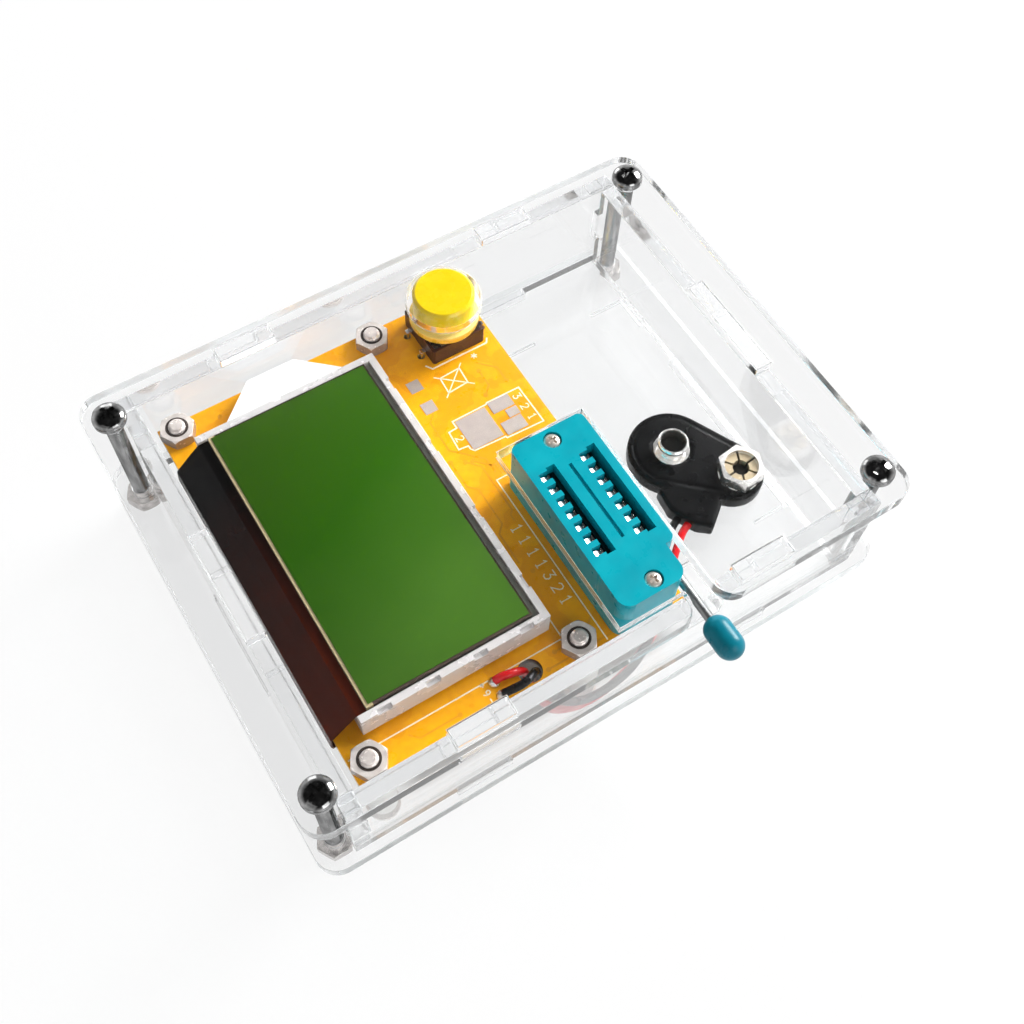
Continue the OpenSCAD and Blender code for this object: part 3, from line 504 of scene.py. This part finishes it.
def soften(bm, width, segments=2):
    """Rounds the edges that turn by more than 35 degrees, over width mm."""
    edges = [e for e in bm.edges if len(e.link_faces) == 2
             and e.calc_face_angle(0) > math.radians(35)]
    bmesh.ops.bevel(bm, geom=edges, offset=width * MM, segments=segments, profile=0.5,
                    affect="EDGES", clamp_overlap=True)


# ---- Finishes ----

def teal_plastic(name, dark, pale):
    """Teal moulding with faint flow marks."""
    g = Graph(name)
    g.surface(g.clouds(5, dark, pale, detail=2.0), g.uneven(2.0, 0.26, 0.36),
              g.bump(g.noise(0.3, 2.0), 0.004), Specular_IOR_Level=0.25)
    return g.mat


def cap_yellow():
    """Yellow cap: bright yellow on top; its sides darker, which is painted shade, with a pale band
    low down, which is painted light shining through the thin plastic.
    """
    g = Graph("cap_yellow")
    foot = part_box("button_cap")[0][2]
    up = g.span(g.at(2), foot + 0.8 * MM, foot + 4.2 * MM, 0, 1)
    pale = srgb(250, 232, 150)
    # painted shade and light: darker sides, and a pale band of painted light through the thin
    # plastic
    side = g.ramp(up, (0.0, srgb(238, 196, 60)), (0.28, pale), (0.5, pale),
                  (0.62, srgb(236, 190, 40)))
    skin = g.clouds(3, srgb(252, 214, 16), srgb(255, 224, 26))
    g.surface(g.mix(g.more(up, 0.72), side, skin), g.uneven(2, 0.22, 0.32),
              g.bump(g.noise(0.4), 0.003), Coat_Weight=0.3, Coat_Roughness=0.12,
              Subsurface_Weight=0.12, Subsurface_Scale=0.002)
    return g.mat


def switch_steel():
    """Plated cover with black plastic rivet heads near its corners."""
    g = Graph("switch_steel")
    lo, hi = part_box("switch_body")
    rivet_at, rivet_half = 4.1 * MM, 0.72 * MM
    far = g.most(*(g.off(g.off(g.at(i), (lo[i] + hi[i]) / 2), rivet_at) for i in (0, 1)))
    rivet = g.less(far, rivet_half)
    c = g.mix(rivet, (0.5, 0.42, 0.32, 1), srgb(26, 22, 20))
    g.surface(c, g.uneven(1, 0.24, 0.4), g.bump(g.noise(0.5), 0.004),
              Metallic=g.math("SUBTRACT", 1.0, rivet))
    return g.mat


def glass_border():
    """The sealed border of the display: cream at its left; elsewhere dark, the seal's own dark
    deepened by painted shade from the frame, and less dark along the front edge.
    """
    g = Graph("glass_border")
    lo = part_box("lcd_front_glass")[0]
    left = g.less(g.at(0), lo[0] + 1.2 * MM)
    low = g.less(g.at(1), lo[1] + 1.0 * MM)
    # painted shade: the border's dark stands partly for the shade that the frame casts on it
    c = g.mix(left, g.mix(low, srgb(44, 28, 26), srgb(72, 58, 52)), srgb(186, 168, 130))
    c = g.mix(g.span(g.noise(1.5), 0.35, 0.7, 0, 0.25), c, srgb(60, 56, 48))
    g.surface(c, g.uneven(3, 0.1, 0.2), g.bump(g.noise(6, 1.0), 0.004),
              Coat_Weight=0.15, Coat_Roughness=0.05)
    return g.mat


def stud_metal(name, node, reach, deep):
    """Plated steel, with painted shade darkening the inside of the cup towards its bottom."""
    g = Graph(name)
    lo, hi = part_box(node)
    away = g.away(*(g.math("SUBTRACT", g.at(i), (lo[i] + hi[i]) / 2) for i in (0, 1)))
    inner = g.less(away, reach * MM)
    depth = g.span(g.at(2), lo[2] + 0.6 * MM, lo[2] + 2.2 * MM, 0, 1)
    c = g.clouds(0.8, (0.78, 0.75, 0.72, 1), (0.9, 0.88, 0.86, 1))
    # painted shade: inside the cup the colour goes dark towards the bottom
    painted_cup_shade = g.mix(depth, (0.02, 0.018, 0.016, 1), deep)
    g.surface(g.mix(inner, c, painted_cup_shade), g.uneven(0.6, 0.12, 0.28), g.bump(g.noise(0.3), 0.003),
              Metallic=g.math("SUBTRACT", 0.9, g.times(inner, 0.5)))
    return g.mat


def vinyl():
    """Black dip-moulded vinyl: soft sheen, small flow lines and a few pale scuffs."""
    g = Graph("vinyl")
    scuff = g.span(g.noise(1.1, 6.0, 0.7), 0.64, 0.74, 0, 0.3)
    g.surface(g.mix(scuff, srgb(5, 5, 6), srgb(36, 36, 38)), g.uneven(2.5, 0.24, 0.34),
              g.bump(g.noise(2.5, 2.0), 0.03, 0.4), Specular_IOR_Level=0.16)
    return g.mat


def silk_ink():
    """Printed ink, thin in places."""
    g = Graph("silk_ink")
    thin = g.span(g.noise(0.25, 4.0), 0.45, 0.7, 0, 0.5)
    c = g.mix(thin, srgb(250, 240, 214), srgb(240, 190, 90))
    g.surface(c, g.uneven(0.6, 0.5, 0.65), g.bump(g.noise(0.15), 0.004))
    return g.mat


make_camera()
M = {           # the finishes
    "plate": acrylic("acrylic_plate", 2),
    "long_wall": acrylic("acrylic_long_wall", 1),
    "side_wall": acrylic("acrylic_side_wall", 0),
    # painted reflection: the corner screws' dark colour with long pale streaks down the shank
    # stands for dark and bright reflections
    "nickel": metal("nickel", (0.3, 0.3, 0.3), 0.1, brushed=(1, 1, 0.2), vary=0.5),
    "nickel_nut": metal("nickel_nut", (0.6, 0.57, 0.55), 0.16, metallic=0.9, vary=0.3),
    "nickel_pale": metal("nickel_pale", (0.84, 0.76, 0.72), 0.2, metallic=0.45, vary=0.2),
    "screw_pale": metal("screw_pale", (0.8, 0.72, 0.64), 0.3, metallic=0.6),
    "male_stud": stud_metal("male_stud", "snap_male_stud", 2.25, (0.1, 0.09, 0.08, 1)),
    "female_stud": stud_metal("female_stud", "snap_female_stud", 3.0, (0.5, 0.4, 0.26, 1)),
    "nut_metal": nut_metal(),
    "tin": metal("tin", (0.85, 0.83, 0.8), 0.12),
    "jaw": metal("jaw", (0.75, 0.76, 0.78), 0.3),
    "solder": metal("solder", (0.7, 0.7, 0.71), 0.22, vary=0.2, grain=0.5, depth=0.012),
    "pad": metal("pad", (0.5, 0.43, 0.4), 0.42, vary=0.06, grain=0.5, depth=0.01, metallic=0.35),
    "rod": metal("rod", (0.24, 0.24, 0.24), 0.38, brushed=(1, 0.1, 1)),
    "cover_steel": switch_steel(),
    "board": board_mask(),
    "trace": plastic("trace", srgb(226, 150, 2), 0.3, 0.5, 0.004, vary=0.1),
    "green": display_green(),
    "border": glass_border(),
    "flex": flex_film(),
    "frame": clear_white("display_frame", (0.84, 0.81, 0.81, 1), 0.3, 0.22),
    "guide": plastic("light_guide", srgb(250, 250, 252), 0.3, vary=0.03),
    "rear": clear_white("rear_glass", (0.42, 0.44, 0.38, 1), 0.6, 0.05),
    "foam": plastic("foam", srgb(60, 58, 56), 0.8, 0.25, 0.05),
    "nylon": plastic("nylon", srgb(236, 236, 230), 0.4),
    "teal": teal_plastic("teal", srgb(2, 158, 176), srgb(6, 174, 190)),
    "knob_teal": teal_plastic("knob_teal", srgb(2, 112, 132), srgb(4, 124, 142)),
    # painted shade: the socket's slider is a darkened teal, standing for the shade inside the
    # socket
    "painted_shade_teal": plastic("painted_shade_teal", srgb(2, 52, 58), 0.5),
    "yellow": cap_yellow(),
    "body_brown": plastic("switch_brown", srgb(62, 26, 14), 0.42, 0.3, 0.006, vary=0.15),
    "black": plastic("black_plastic", srgb(34, 26, 24), 0.4),
    "vinyl": vinyl(),
    "red": plastic("red_pvc", srgb(206, 14, 22), 0.22, 0.5, 0.003),
    "black_pvc": plastic("black_pvc", srgb(8, 8, 9), 0.24, 0.5, 0.003, Specular_IOR_Level=0.3),
    "ceramic": plastic("ceramic", srgb(176, 140, 100), 0.55),
    "ink": silk_ink(),
}
FINISH = {      # the CAD nodes that keep their own shape
    "screw_pale": ["socket_screws"],
    "male_stud": ["snap_male_stud"],
    "female_stud": ["snap_female_stud"],
    "nickel_nut": ["case_nuts"],
    "nut_metal": ["board_nuts"],
    "tin": ["socket_contacts", "switch_dome", "switch_terminals", "crystal"],
    "solder": ["lead_solder"],
    "pad": ["test_pads"],
    "rod": ["lever_rod"],
    "cover_steel": ["switch_cover"],
    "board": ["circuit_board"],
    "border": ["lcd_front_glass"],
    "flex": ["lcd_flex_cable"],
    "frame": ["lcd_backlight"],
    "guide": ["lcd_light_guide"],
    "rear": ["lcd_rear_glass"],
    "foam": ["lcd_foam_pads"],
    "nylon": ["board_spacers"],
    "teal": ["socket_base", "socket_cover"],
    "knob_teal": ["lever_knob"],
    "painted_shade_teal": ["socket_slider"],
    "yellow": ["button_cap"],
    "body_brown": ["switch_body"],
    "black": ["switch_plunger", "microcontroller", "voltage_regulator", "resistors"],
    "ceramic": ["capacitors"],
}
# how far each node's edges are rounded
ROUNDED = {
    "socket_cover": 0.16, "socket_base": 0.12, "lever_knob": 0.1, "button_cap": 0.22,
    "switch_body": 0.12, "switch_cover": 0.08, "switch_plunger": 0.1, "case_nuts": 0.1,
    "board_nuts": 0.1, "socket_screws": 0.06, "lcd_backlight": 0.12, "lcd_light_guide": 0.1,
    "lcd_rear_glass": 0.06, "lcd_front_glass": 0.05, "lcd_foam_pads": 0.1, "board_spacers": 0.12,
    "circuit_board": 0.05, "test_pads": 0.03, "snap_male_stud": 0.08, "snap_female_stud": 0.12,
    "lead_solder": 0.1, "lever_rod": 0.08, "socket_contacts": 0.05, "microcontroller": 0.05,
    "crystal": 0.15, "voltage_regulator": 0.06, "capacitors": 0.08, "resistors": 0.04,
    "switch_terminals": 0.05, "lcd_flex_cable": 0.04,
}
for key, names in FINISH.items():
    for name in names:
        for material_slot in nodes[name].material_slots:
            material_slot.material = M[key]
for name, width in ROUNDED.items():
    weld = nodes[name].modifiers.new("weld", "WELD")
    weld.merge_threshold = 2e-6
    bevel = nodes[name].modifiers.new("bevel", "BEVEL")
    bevel.width = width * MM
    bevel.segments = 2
    bevel.limit_method = "ANGLE"
    bevel.angle_limit = math.radians(34)
    bevel.harden_normals = True


# ---- The clear sheets, kept a hair apart so that each one's faces are seen ----

SHEETS = (("top_plate", "plate"), ("bottom_plate", "plate"), ("front_wall", "long_wall"),
          ("back_wall", "long_wall"), ("left_wall", "side_wall"), ("right_wall", "side_wall"))

for name, finish in SHEETS:
    bm = copy_of(name)
    draw_in(bm, 0.03)
    soften(bm, 0.11, segments=1)
    bm.normal_update()
    sheet = show(name + "_sheet", bm, finish, sharp=20)
    for f in sheet.data.polygons:
        f.use_smooth = max(abs(k) for k in f.normal) < 0.9995      # flat faces stay flat
    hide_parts(name)


# ---- Screws with real threads ----

def heads_of(name, z, keep_above):
    """The CAD heads, cut off level at height z."""
    bm = copy_of(name)
    cut = bmesh.ops.bisect_plane(bm, geom=bm.verts[:] + bm.edges[:] + bm.faces[:],
                                 plane_co=(0, 0, z * MM), plane_no=(0, 0, 1),
                                 clear_inner=keep_above, clear_outer=not keep_above)
    rim = [e for e in cut["geom_cut"] if isinstance(e, bmesh.types.BMEdge)]
    bmesh.ops.holes_fill(bm, edges=rim)
    soften(bm, 0.12)
    return bm


def joined(*bms):
    """Several bmeshes as one."""
    mesh = bpy.data.meshes.new("joined")
    whole = bmesh.new()
    for bm in bms:
        bm.to_mesh(mesh)
        whole.from_mesh(mesh)
        bm.free()
    bpy.data.meshes.remove(mesh)
    return whole


def screws(node, heads, shanks, finish):
    """Four screws as one piece, in place of a node."""
    piece = show(node + "_threaded", joined(heads, shanks), finish, sharp=30)
    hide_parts(node)


CORNERS = [(sx, sy) for sx in (-1, 1) for sy in (-1, 1)]
CASE_TIP = 0.4      # the corner screws' tips, over the standing surface
SUNK = 0.02         # how far a shank reaches into its head
BOARD_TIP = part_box("board_screws")[1][2] / MM
case_shanks = built([threaded(CASE_TIP, LID_TOP + SUNK, sx * CASE_SCREWS[0], sy * CASE_SCREWS[1])
                     for sx, sy in CORNERS])
screws("case_screws", heads_of("case_screws", LID_TOP, True), case_shanks, "nickel")
board_shanks = built([threaded(BOARD_TIP, BASE_LOW - SUNK, BOARD_SCREWS_X + sx * BOARD_SCREWS[0],
                               BOARD_Y + sy * BOARD_SCREWS[1]) for sx, sy in CORNERS])
screws("board_screws", heads_of("board_screws", BASE_LOW, False), board_shanks, "nickel_pale")


# ---- Display film ----

def film():
    """The green film inside the glass's border, 0.16 mm proud of it."""
    lo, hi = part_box("lcd_front_glass")
    x0, x1 = lo[0] / MM + 0.5, hi[0] / MM - 0.35
    y0, y1 = lo[1] / MM - CASE_Y + 0.4, hi[1] / MM - CASE_Y - 0.35
    z = hi[2] / MM
    points = [(x, y, h) for h in (z + 0.005, z + 0.16)
              for x, y in ((x0, y0), (x1, y0), (x1, y1), (x0, y1))]
    faces = [(0, 3, 2, 1), (4, 5, 6, 7)]
    faces += [(i, (i + 1) % 4, 4 + (i + 1) % 4, 4 + i) for i in range(4)]
    bm = built([(points, faces)])
    soften(bm, 0.05)
    show("display_film", bm, "green")


film()


# ---- Print, tracks and joints on the board ----

INK_Z, INK_THICK = BOARD_TOP + 0.002, 0.035

# each sign's strokes, in a space one unit high
SIGNS = {
    "1": [[(0, 0), (0, 1), (0.22, 0.78)], [(-0.2, 0), (0.2, 0)]],
    "2": [[(-0.3, 0.78), (-0.15, 0.98), (0.15, 0.98), (0.3, 0.78), (0.26, 0.55), (-0.3, 0),
           (0.32, 0)]],
    "3": [[(-0.3, 1), (0.3, 1), (0, 0.6), (0.24, 0.5), (0.3, 0.28), (0.16, 0.04), (-0.14, 0.02),
           (-0.3, 0.2)]],
    "+": [[(-0.3, 0.5), (0.3, 0.5)], [(0, 0.2), (0, 0.8)]],
    "-": [[(-0.3, 0.5), (0.3, 0.5)]],
    "9": [[(0.26, 0.62), (0.1, 0.45), (-0.16, 0.5), (-0.26, 0.74), (-0.12, 0.97), (0.14, 0.97),
           (0.27, 0.74), (0.24, 0.3), (0.04, 0)]],
}


def mark(sign, x, y, size, width=0.2):
    """A printed sign whose top points to +X, at the middle of its foot."""
    flip = -1 if sign == "1" else 1
    return [ribbon([(x + v * size, y - flip * u * size) for u, v in stroke],
                   width, INK_Z, INK_THICK) for stroke in SIGNS[sign]]


# the printed lines: points, width, and whether the line is closed
INK = [
    # round the display
    ([(-44.1, -30.7), (-5.7, -30.7), (-5.7, 32.9)], 0.22, False),
    # round the socket
    ([(0.35, -34.6), (0.35, -0.9), (15.1, -0.9)], 0.22, False),
    # round the push button
    ([(1.6, 25.3), (2.4, 24.1), (13.5, 24.1), (14.1, 25.0)], 0.28, False),
    # round the test pads
    ([(13.4, 13.1), (13.5, 5.0), (6.3, 5.3), (6.2, 5.65), (0.2, 5.95), (-0.3, 6.6),
      (-0.3, 7.3), (-2.1, 7.5), (-1.8, 11.3), (-0.2, 11.4), (-0.2, 12.9), (6.6, 12.95),
      (6.9, 13.2)], 0.24, True),
    # a plain crossed box
    ([(2.3, 18.3), (6.3, 18.6), (6.5, 21.9), (2.5, 21.7)], 0.24, True),
    ([(1.5, 17.6), (7.3, 22.7)], 0.2, False),
    ([(1.6, 22.4), (7.2, 17.7)], 0.2, False),
    # a small star
    ([(9.5, 22.8), (10.7, 22.8)], 0.2, False),
    ([(9.8, 22.3), (10.4, 23.3)], 0.2, False),
    ([(9.8, 23.3), (10.4, 22.3)], 0.2, False),
]


def print_board():
    """Everything printed in white: lines, pin numbers and the signs at the leads' pads."""
    parts = [ribbon(line, width, INK_Z, INK_THICK, closed) for line, width, closed in INK]
    for sign, y in zip("1111321", (-10.4, -12.9, -15.5, -18.0, -20.3, -22.9, -25.4)):
        parts += mark(sign, -2.5, y, 1.9)
    for sign, x, y in (("3", 11.5, 11.7), ("2", 11.6, 9.2), ("1", 11.6, 6.8), ("2", -1.5, 9.3)):
        parts += mark(sign, x, y, 1.4, 0.18)
    for sign, y in (("+", -30.9), ("9", -32.3), ("-", -33.7)):
        parts += mark(sign, -21.3, y, 1.2)
    show("printed_marks", built(parts), "ink")


TRACKS = [
    [(-1.6, 16.6), (-3.6, 14.6), (-3.6, 8.2), (-0.4, 5.0), (1.0, 3.6), (1.0, 0.6)],
    [(-1.2, 4.4), (1.2, 2.0), (2.6, 2.0), (2.6, 0.4)],
    [(-2.4, 4.8), (-0.4, 2.8), (-0.4, -7.0), (-1.1, -7.7), (-1.1, -9.0)],
    [(-4.6, 6.0), (-4.6, 0.6), (-3.2, -0.8), (-3.2, -8.4), (-4.6, -9.8), (-4.6, -16.0)],
    [(8.0, 4.6), (8.0, 2.6), (9.4, 1.2), (9.4, 0.2)],
    [(10.8, 4.6), (10.8, 3.0), (12.4, 1.4), (14.2, 1.4)],
    [(12.4, 15.4), (12.4, 18.6), (9.6, 21.4)],
    [(7.6, 14.6), (9.2, 16.2), (9.2, 19.6)],
    [(-8.0, -32.0), (-2.0, -32.0), (0.2, -29.8), (0.2, -12.0)],
    [(-26.0, -33.2), (-33.0, -33.2), (-34.4, -31.8)],
    [(-10.4, -34.0), (-3.0, -34.0), (1.6, -34.0)],
]
VIAS = [(-3.4, -18.3), (-1.2, 4.4), (-2.4, 4.8), (9.2, 19.6), (12.4, 15.4), (-8.0, -32.0),
        (7.6, 14.6), (-26.0, -33.2), (-10.4, -34.0), (-4.6, 6.0), (-43.2, 33.6), (-34.0, 34.2)]


def lay_tracks():
    """Copper under the solder mask, which stands a little proud of the board."""
    parts = [ribbon(line, 0.32, BOARD_TOP + 0.001, 0.02) for line in TRACKS]
    via = [(0.42, 0.001), (0.42, 0.03), (0.36, 0.034), (0.16, 0.034)]
    parts += [lathe(via, 20, (x, y, BOARD_TOP)) for x, y in VIAS]
    show("copper_tracks", built(parts), "trace")


def solder_joints():
    """Fillets under the board, where the pins of the socket and the button come through."""
    profile = [(0.86, 0), (0.84, -0.12), (0.55, -0.38), (0.36, -0.9), (0.3, -1.15), (0, -1.22)]
    parts = [lathe(profile, 14, (x, y, BOARD_LOW)) for x, y in PINS + SWITCH_PINS]
    show("solder_joints", built(parts), "solder", sharp=60)


def contact_jaws():
    """The sprung leaf that shows in each slot of the socket."""
    leaf = [(-1.42, -0.8), (-0.95, -0.95), (-0.42, -1.5), (-0.2, -2.3), (-0.18, -3.1)]
    side = leaf + [(u + 0.2, v - 0.1) for u, v in reversed(leaf)]
    n = len(side)
    faces = [(k, k + 1, n - 2 - k, n - 1 - k) for k in range(len(leaf) - 1)]
    faces += [tuple(n + j for j in reversed(f)) for f in faces]
    faces += [(k, (k + 1) % n, n + (k + 1) % n, n + k) for k in range(n)]
    parts = [([(x + u, y + w, SOCKET_TOP + v) for w in (-0.5, 0.5) for u, v in side], faces)
             for x, y in PINS]
    show("contact_jaws", built(parts), "jaw", sharp=50)


print_board()
lay_tracks()
solder_joints()
contact_jaws()


# ---- Battery snap and its leads ----

SNAP_PITCH = 11.5       # between the middles of the shell's two lobes
SNAP_LOBES = 7.9, 5.8   # their radii
SEAM_IN, SEAM_HALF, SEAM_DEPTH = 1.15, 0.45, 0.16      # the pressed line: inset, half width, depth


def seam_depth(x, y):
    """How deep the line pressed in along the shell's edge is; x runs from lobe to lobe."""
    along = min(max(x / SNAP_PITCH, 0), 1)
    radius = SNAP_LOBES[0] + (SNAP_LOBES[1] - SNAP_LOBES[0]) * along
    away = math.hypot(x - along * SNAP_PITCH, y) - radius + SEAM_IN
    return SEAM_DEPTH * max(0, 1 - (away / SEAM_HALF) ** 2)


def soft_shell():
    """The dip-moulded vinyl shell: remeshed finely and smoothed, so that no edge is hard."""
    shell = show("snap_soft_shell", copy_of("snap_shell"), "vinyl", sharp=180)
    remesh = shell.modifiers.new("remesh", "REMESH")
    remesh.mode = "VOXEL"
    remesh.voxel_size = 0.26 * MM
    remesh.use_smooth_shade = True
    smooth = shell.modifiers.new("smooth", "SMOOTH")
    smooth.factor, smooth.iterations = 0.5, 9
    shell.data = bpy.data.meshes.new_from_object(
        shell.evaluated_get(bpy.context.evaluated_depsgraph_get()))
    shell.modifiers.clear()
    middles = [sum((Vector(p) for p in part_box(node)), Vector()) / 2
               for node in ("snap_male_stud", "snap_female_stud")]
    along = (middles[1] - middles[0]).to_2d().normalized()
    for v in shell.data.vertices:
        if v.normal.z > 0.5:
            out = (v.co - middles[0]).to_2d() / MM
            v.co.z -= seam_depth(out.dot(along), out.cross(along)) * MM
    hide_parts("snap_shell")
    return shell


def spline_points(route, step=5):
    """A smooth curve through a route, as points in metres, step to each stretch."""
    p = [Vector((x, y + CASE_Y, z)) * MM for x, y, z in route]
    p = [p[0] * 2 - p[1]] + p + [p[-1] * 2 - p[-2]]
    out = []
    for a, b, c, d in zip(p, p[1:], p[2:], p[3:]):
        for k in range(step):
            t = k / step
            out.append(0.5 * (2 * b + (c - a) * t + (2 * a - 5 * b + 4 * c - d) * t * t
                              + (3 * b - a - 3 * c + d) * t ** 3))
    return out + [p[-2]]


def lead(name, node, route, finish):
    """A lead of the snap, along the route that part.scad gives its solid."""
    line = spline_points(route)
    curve = bpy.data.curves.new(name, "CURVE")
    curve.dimensions = "3D"
    curve.bevel_depth = LEAD_D / 2 * MM
    curve.bevel_resolution = 5
    curve.use_fill_caps = True
    spline = curve.splines.new("POLY")
    spline.points.add(len(line) - 1)
    for point, place in zip(spline.points, line):
        point.co = (*place, 1)
    spline.use_smooth = True
    curve.materials.append(M[finish])
    ob = bpy.data.objects.new(name, curve)
    bpy.context.collection.objects.link(ob)
    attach(ob, "case")
    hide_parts(node)


RED_ROUTE = [
    (27.6, -21, 7.1), (25.6, -22, 7.1), (22.9, -24.1, 6.6), (19.8, -26.8, 6.2), (16.4, -29.2, 6.2),
    (13, -31.2, 6.2), (9.4, -33, 6.2), (5.6, -34.5, 6.2), (1.8, -35.5, 6.2), (-2, -36.1, 6.2),
    (-5.8, -36.1, 6.2), (-9, -35.5, 6.8), (-11.3, -34.7, 8.4), (-12.7, -33.6, 10.8),
    (-13.2, -32.6, 13.4), (-13.4, -32.3, 15.2), (-13.7, -32.2, 16.4), (-14.3, -32.2, 17.5),
    (-15.3, -32.1, 18.3), (-16.5, -31.9, 18.6), (-17.7, -31.6, 18.4), (-18.7, -31.4, 17.7)]
BLACK_ROUTE = [
    (26.7, -19.2, 7.1), (24.7, -20.2, 7.1), (21.9, -22.5, 6.9), (18.7, -25.4, 7.3),
    (15.2, -28.5, 7.9), (11.8, -31.3, 7.9), (8.4, -33.6, 7.9), (5, -35.2, 7.9), (1.6, -36.1, 7.9),
    (-2, -36.4, 7.9), (-5.2, -36.3, 8.2), (-7.7, -35.8, 9.2), (-9.8, -35, 10.8), (-11.2, -34, 12.8),
    (-11.8, -33.3, 14.6), (-12, -33.1, 16.2), (-12.4, -33.3, 17.4), (-13.2, -33.8, 18.4),
    (-14.4, -34.3, 18.9), (-15.8, -34.5, 19), (-17.2, -34.3, 18.6), (-18.6, -33.9, 17.7)]
shell = soft_shell()
lead("red_lead_smooth", "red_lead", RED_ROUTE, "red")
lead("black_lead_smooth", "black_lead", BLACK_ROUTE, "black_pvc")


# ---- Stage ----

# where the board's shadow on the ground starts and is full, at each of its sides
SHADOW_X = (-39, -34), (17, 12)
SHADOW_Y = (-30.4, -28.4), (38, 32)     # in the row's frame
FLOOR_GLOW, SHADOW_GLOW = 1.0, 0.05
LAMPS = (("key", (0.8, 0.15, 0.5), 0.4, 14.0),      # name, place in metres, size, watts
         ("fill", (-0.65, -0.3, 0.5), 0.6, 0.5),
         ("back", (0.1, 0.95, 0.22), 0.4, 1.6),
         ("front", (0.1, -0.8, 0.5), 0.5, 2.3))


def make_floor():
    """A pale floor that is white where it's seen, and takes the object's shadow. Its white is a
    glow, which no shadow darkens, so the dark ground under the board is drawn in."""
    bpy.ops.mesh.primitive_plane_add(size=6, location=(0, 0, 0))
    floor = bpy.context.object
    floor.name = "floor"
    g = Graph("floor")
    matt = g.add("BsdfDiffuse",
                 Color=g.mix(g.noise(60), (0.86, 0.86, 0.86, 1), (0.88, 0.88, 0.88, 1)))
    path = g.add("LightPath").outputs
    seen = g.most(path["Is Camera Ray"], g.most(path["Is Glossy Ray"], path["Is Transmission Ray"]))
    dark = None
    for i, sides in ((0, SHADOW_X), (1, SHADOW_Y)):
        for start, full in sides:
            side = g.span(g.at(i), start * MM, full * MM, 0, 1)
            dark = side if dark is None else g.times(dark, side)
    glow = g.add("Emission", Color=(1, 1, 1, 1),
                 Strength=g.span(dark, 0, 1, FLOOR_GLOW, SHADOW_GLOW))
    floor.data.materials.append(g.finish(g.blend(g.times(seen, 0.88), matt, glow)))


def make_world():
    """White to the camera and an even grey to matt surfaces. A mirror or a sheet sees a bright
    horizon and a dim ceiling; what lies deep in the case sees a higher and softer horizon, and
    light that has turned many times inside a sheet's edge comes out white."""
    world = bpy.data.worlds.new("world")
    world.use_nodes = True
    bpy.context.scene.world = world
    t = world.node_tree
    back = t.nodes["Background"]

    def add(kind, *inputs):
        n = t.nodes.new("ShaderNode" + kind)
        for i, v in enumerate(inputs):
            if isinstance(v, bpy.types.NodeSocket):
                t.links.new(v, n.inputs[i])
            elif v is not None:
                n.inputs[i].default_value = v
        return n

    def math_node(operation, a, b):
        n = add("Math", a, b)
        n.operation = operation
        return n.outputs[0]

    def either(fac, a, b):
        """a where fac is 0, b where it is 1."""
        return add("Mix", fac, None, a, b).outputs[0]

    path = add("LightPath").outputs
    height = add("SeparateXYZ", add("TexCoord").outputs["Generated"]).outputs[2]
    over = add("MapRange", height, 0.2, 0.65, 1.0, 0.03).outputs[0]
    inside = add("MapRange", height, 0.3, 0.85, 0.88, 0.1).outputs[0]
    deep = math_node("GREATER_THAN", path["Ray Depth"], 3.5)
    deepest = math_node("GREATER_THAN", path["Ray Depth"], 6.5)
    matt = math_node("GREATER_THAN", path["Diffuse Depth"], 0.5)
    clear = math_node("MULTIPLY", math_node("MAXIMUM", path["Is Glossy Ray"],
                                            path["Is Transmission Ray"]),
                      math_node("SUBTRACT", 1.0, matt))
    level = either(clear, 0.24, either(deep, over, inside))
    white = math_node("MAXIMUM", path["Is Camera Ray"], math_node("MULTIPLY", clear, deepest))
    t.links.new(either(white, level, 1.0), back.inputs["Strength"])
    back.inputs["Color"].default_value = (1, 1, 1, 1)


def make_lamps():
    for name, place, size, watts in LAMPS:
        data = bpy.data.lights.new(name, "AREA")
        data.size, data.energy = size, watts
        lamp = bpy.data.objects.new(name, data)
        lamp.location = place
        lamp.rotation_euler = (-Vector(place)).to_track_quat("-Z", "Y").to_euler()
        bpy.context.collection.objects.link(lamp)


make_floor()
make_world()
make_lamps()
scene = bpy.context.scene
scene.view_settings.view_transform = "Standard"
scene.cycles.max_bounces = 20           # the sheets' edges hold light for many turns
scene.cycles.glossy_bounces = 12
scene.cycles.transmission_bounces = 20
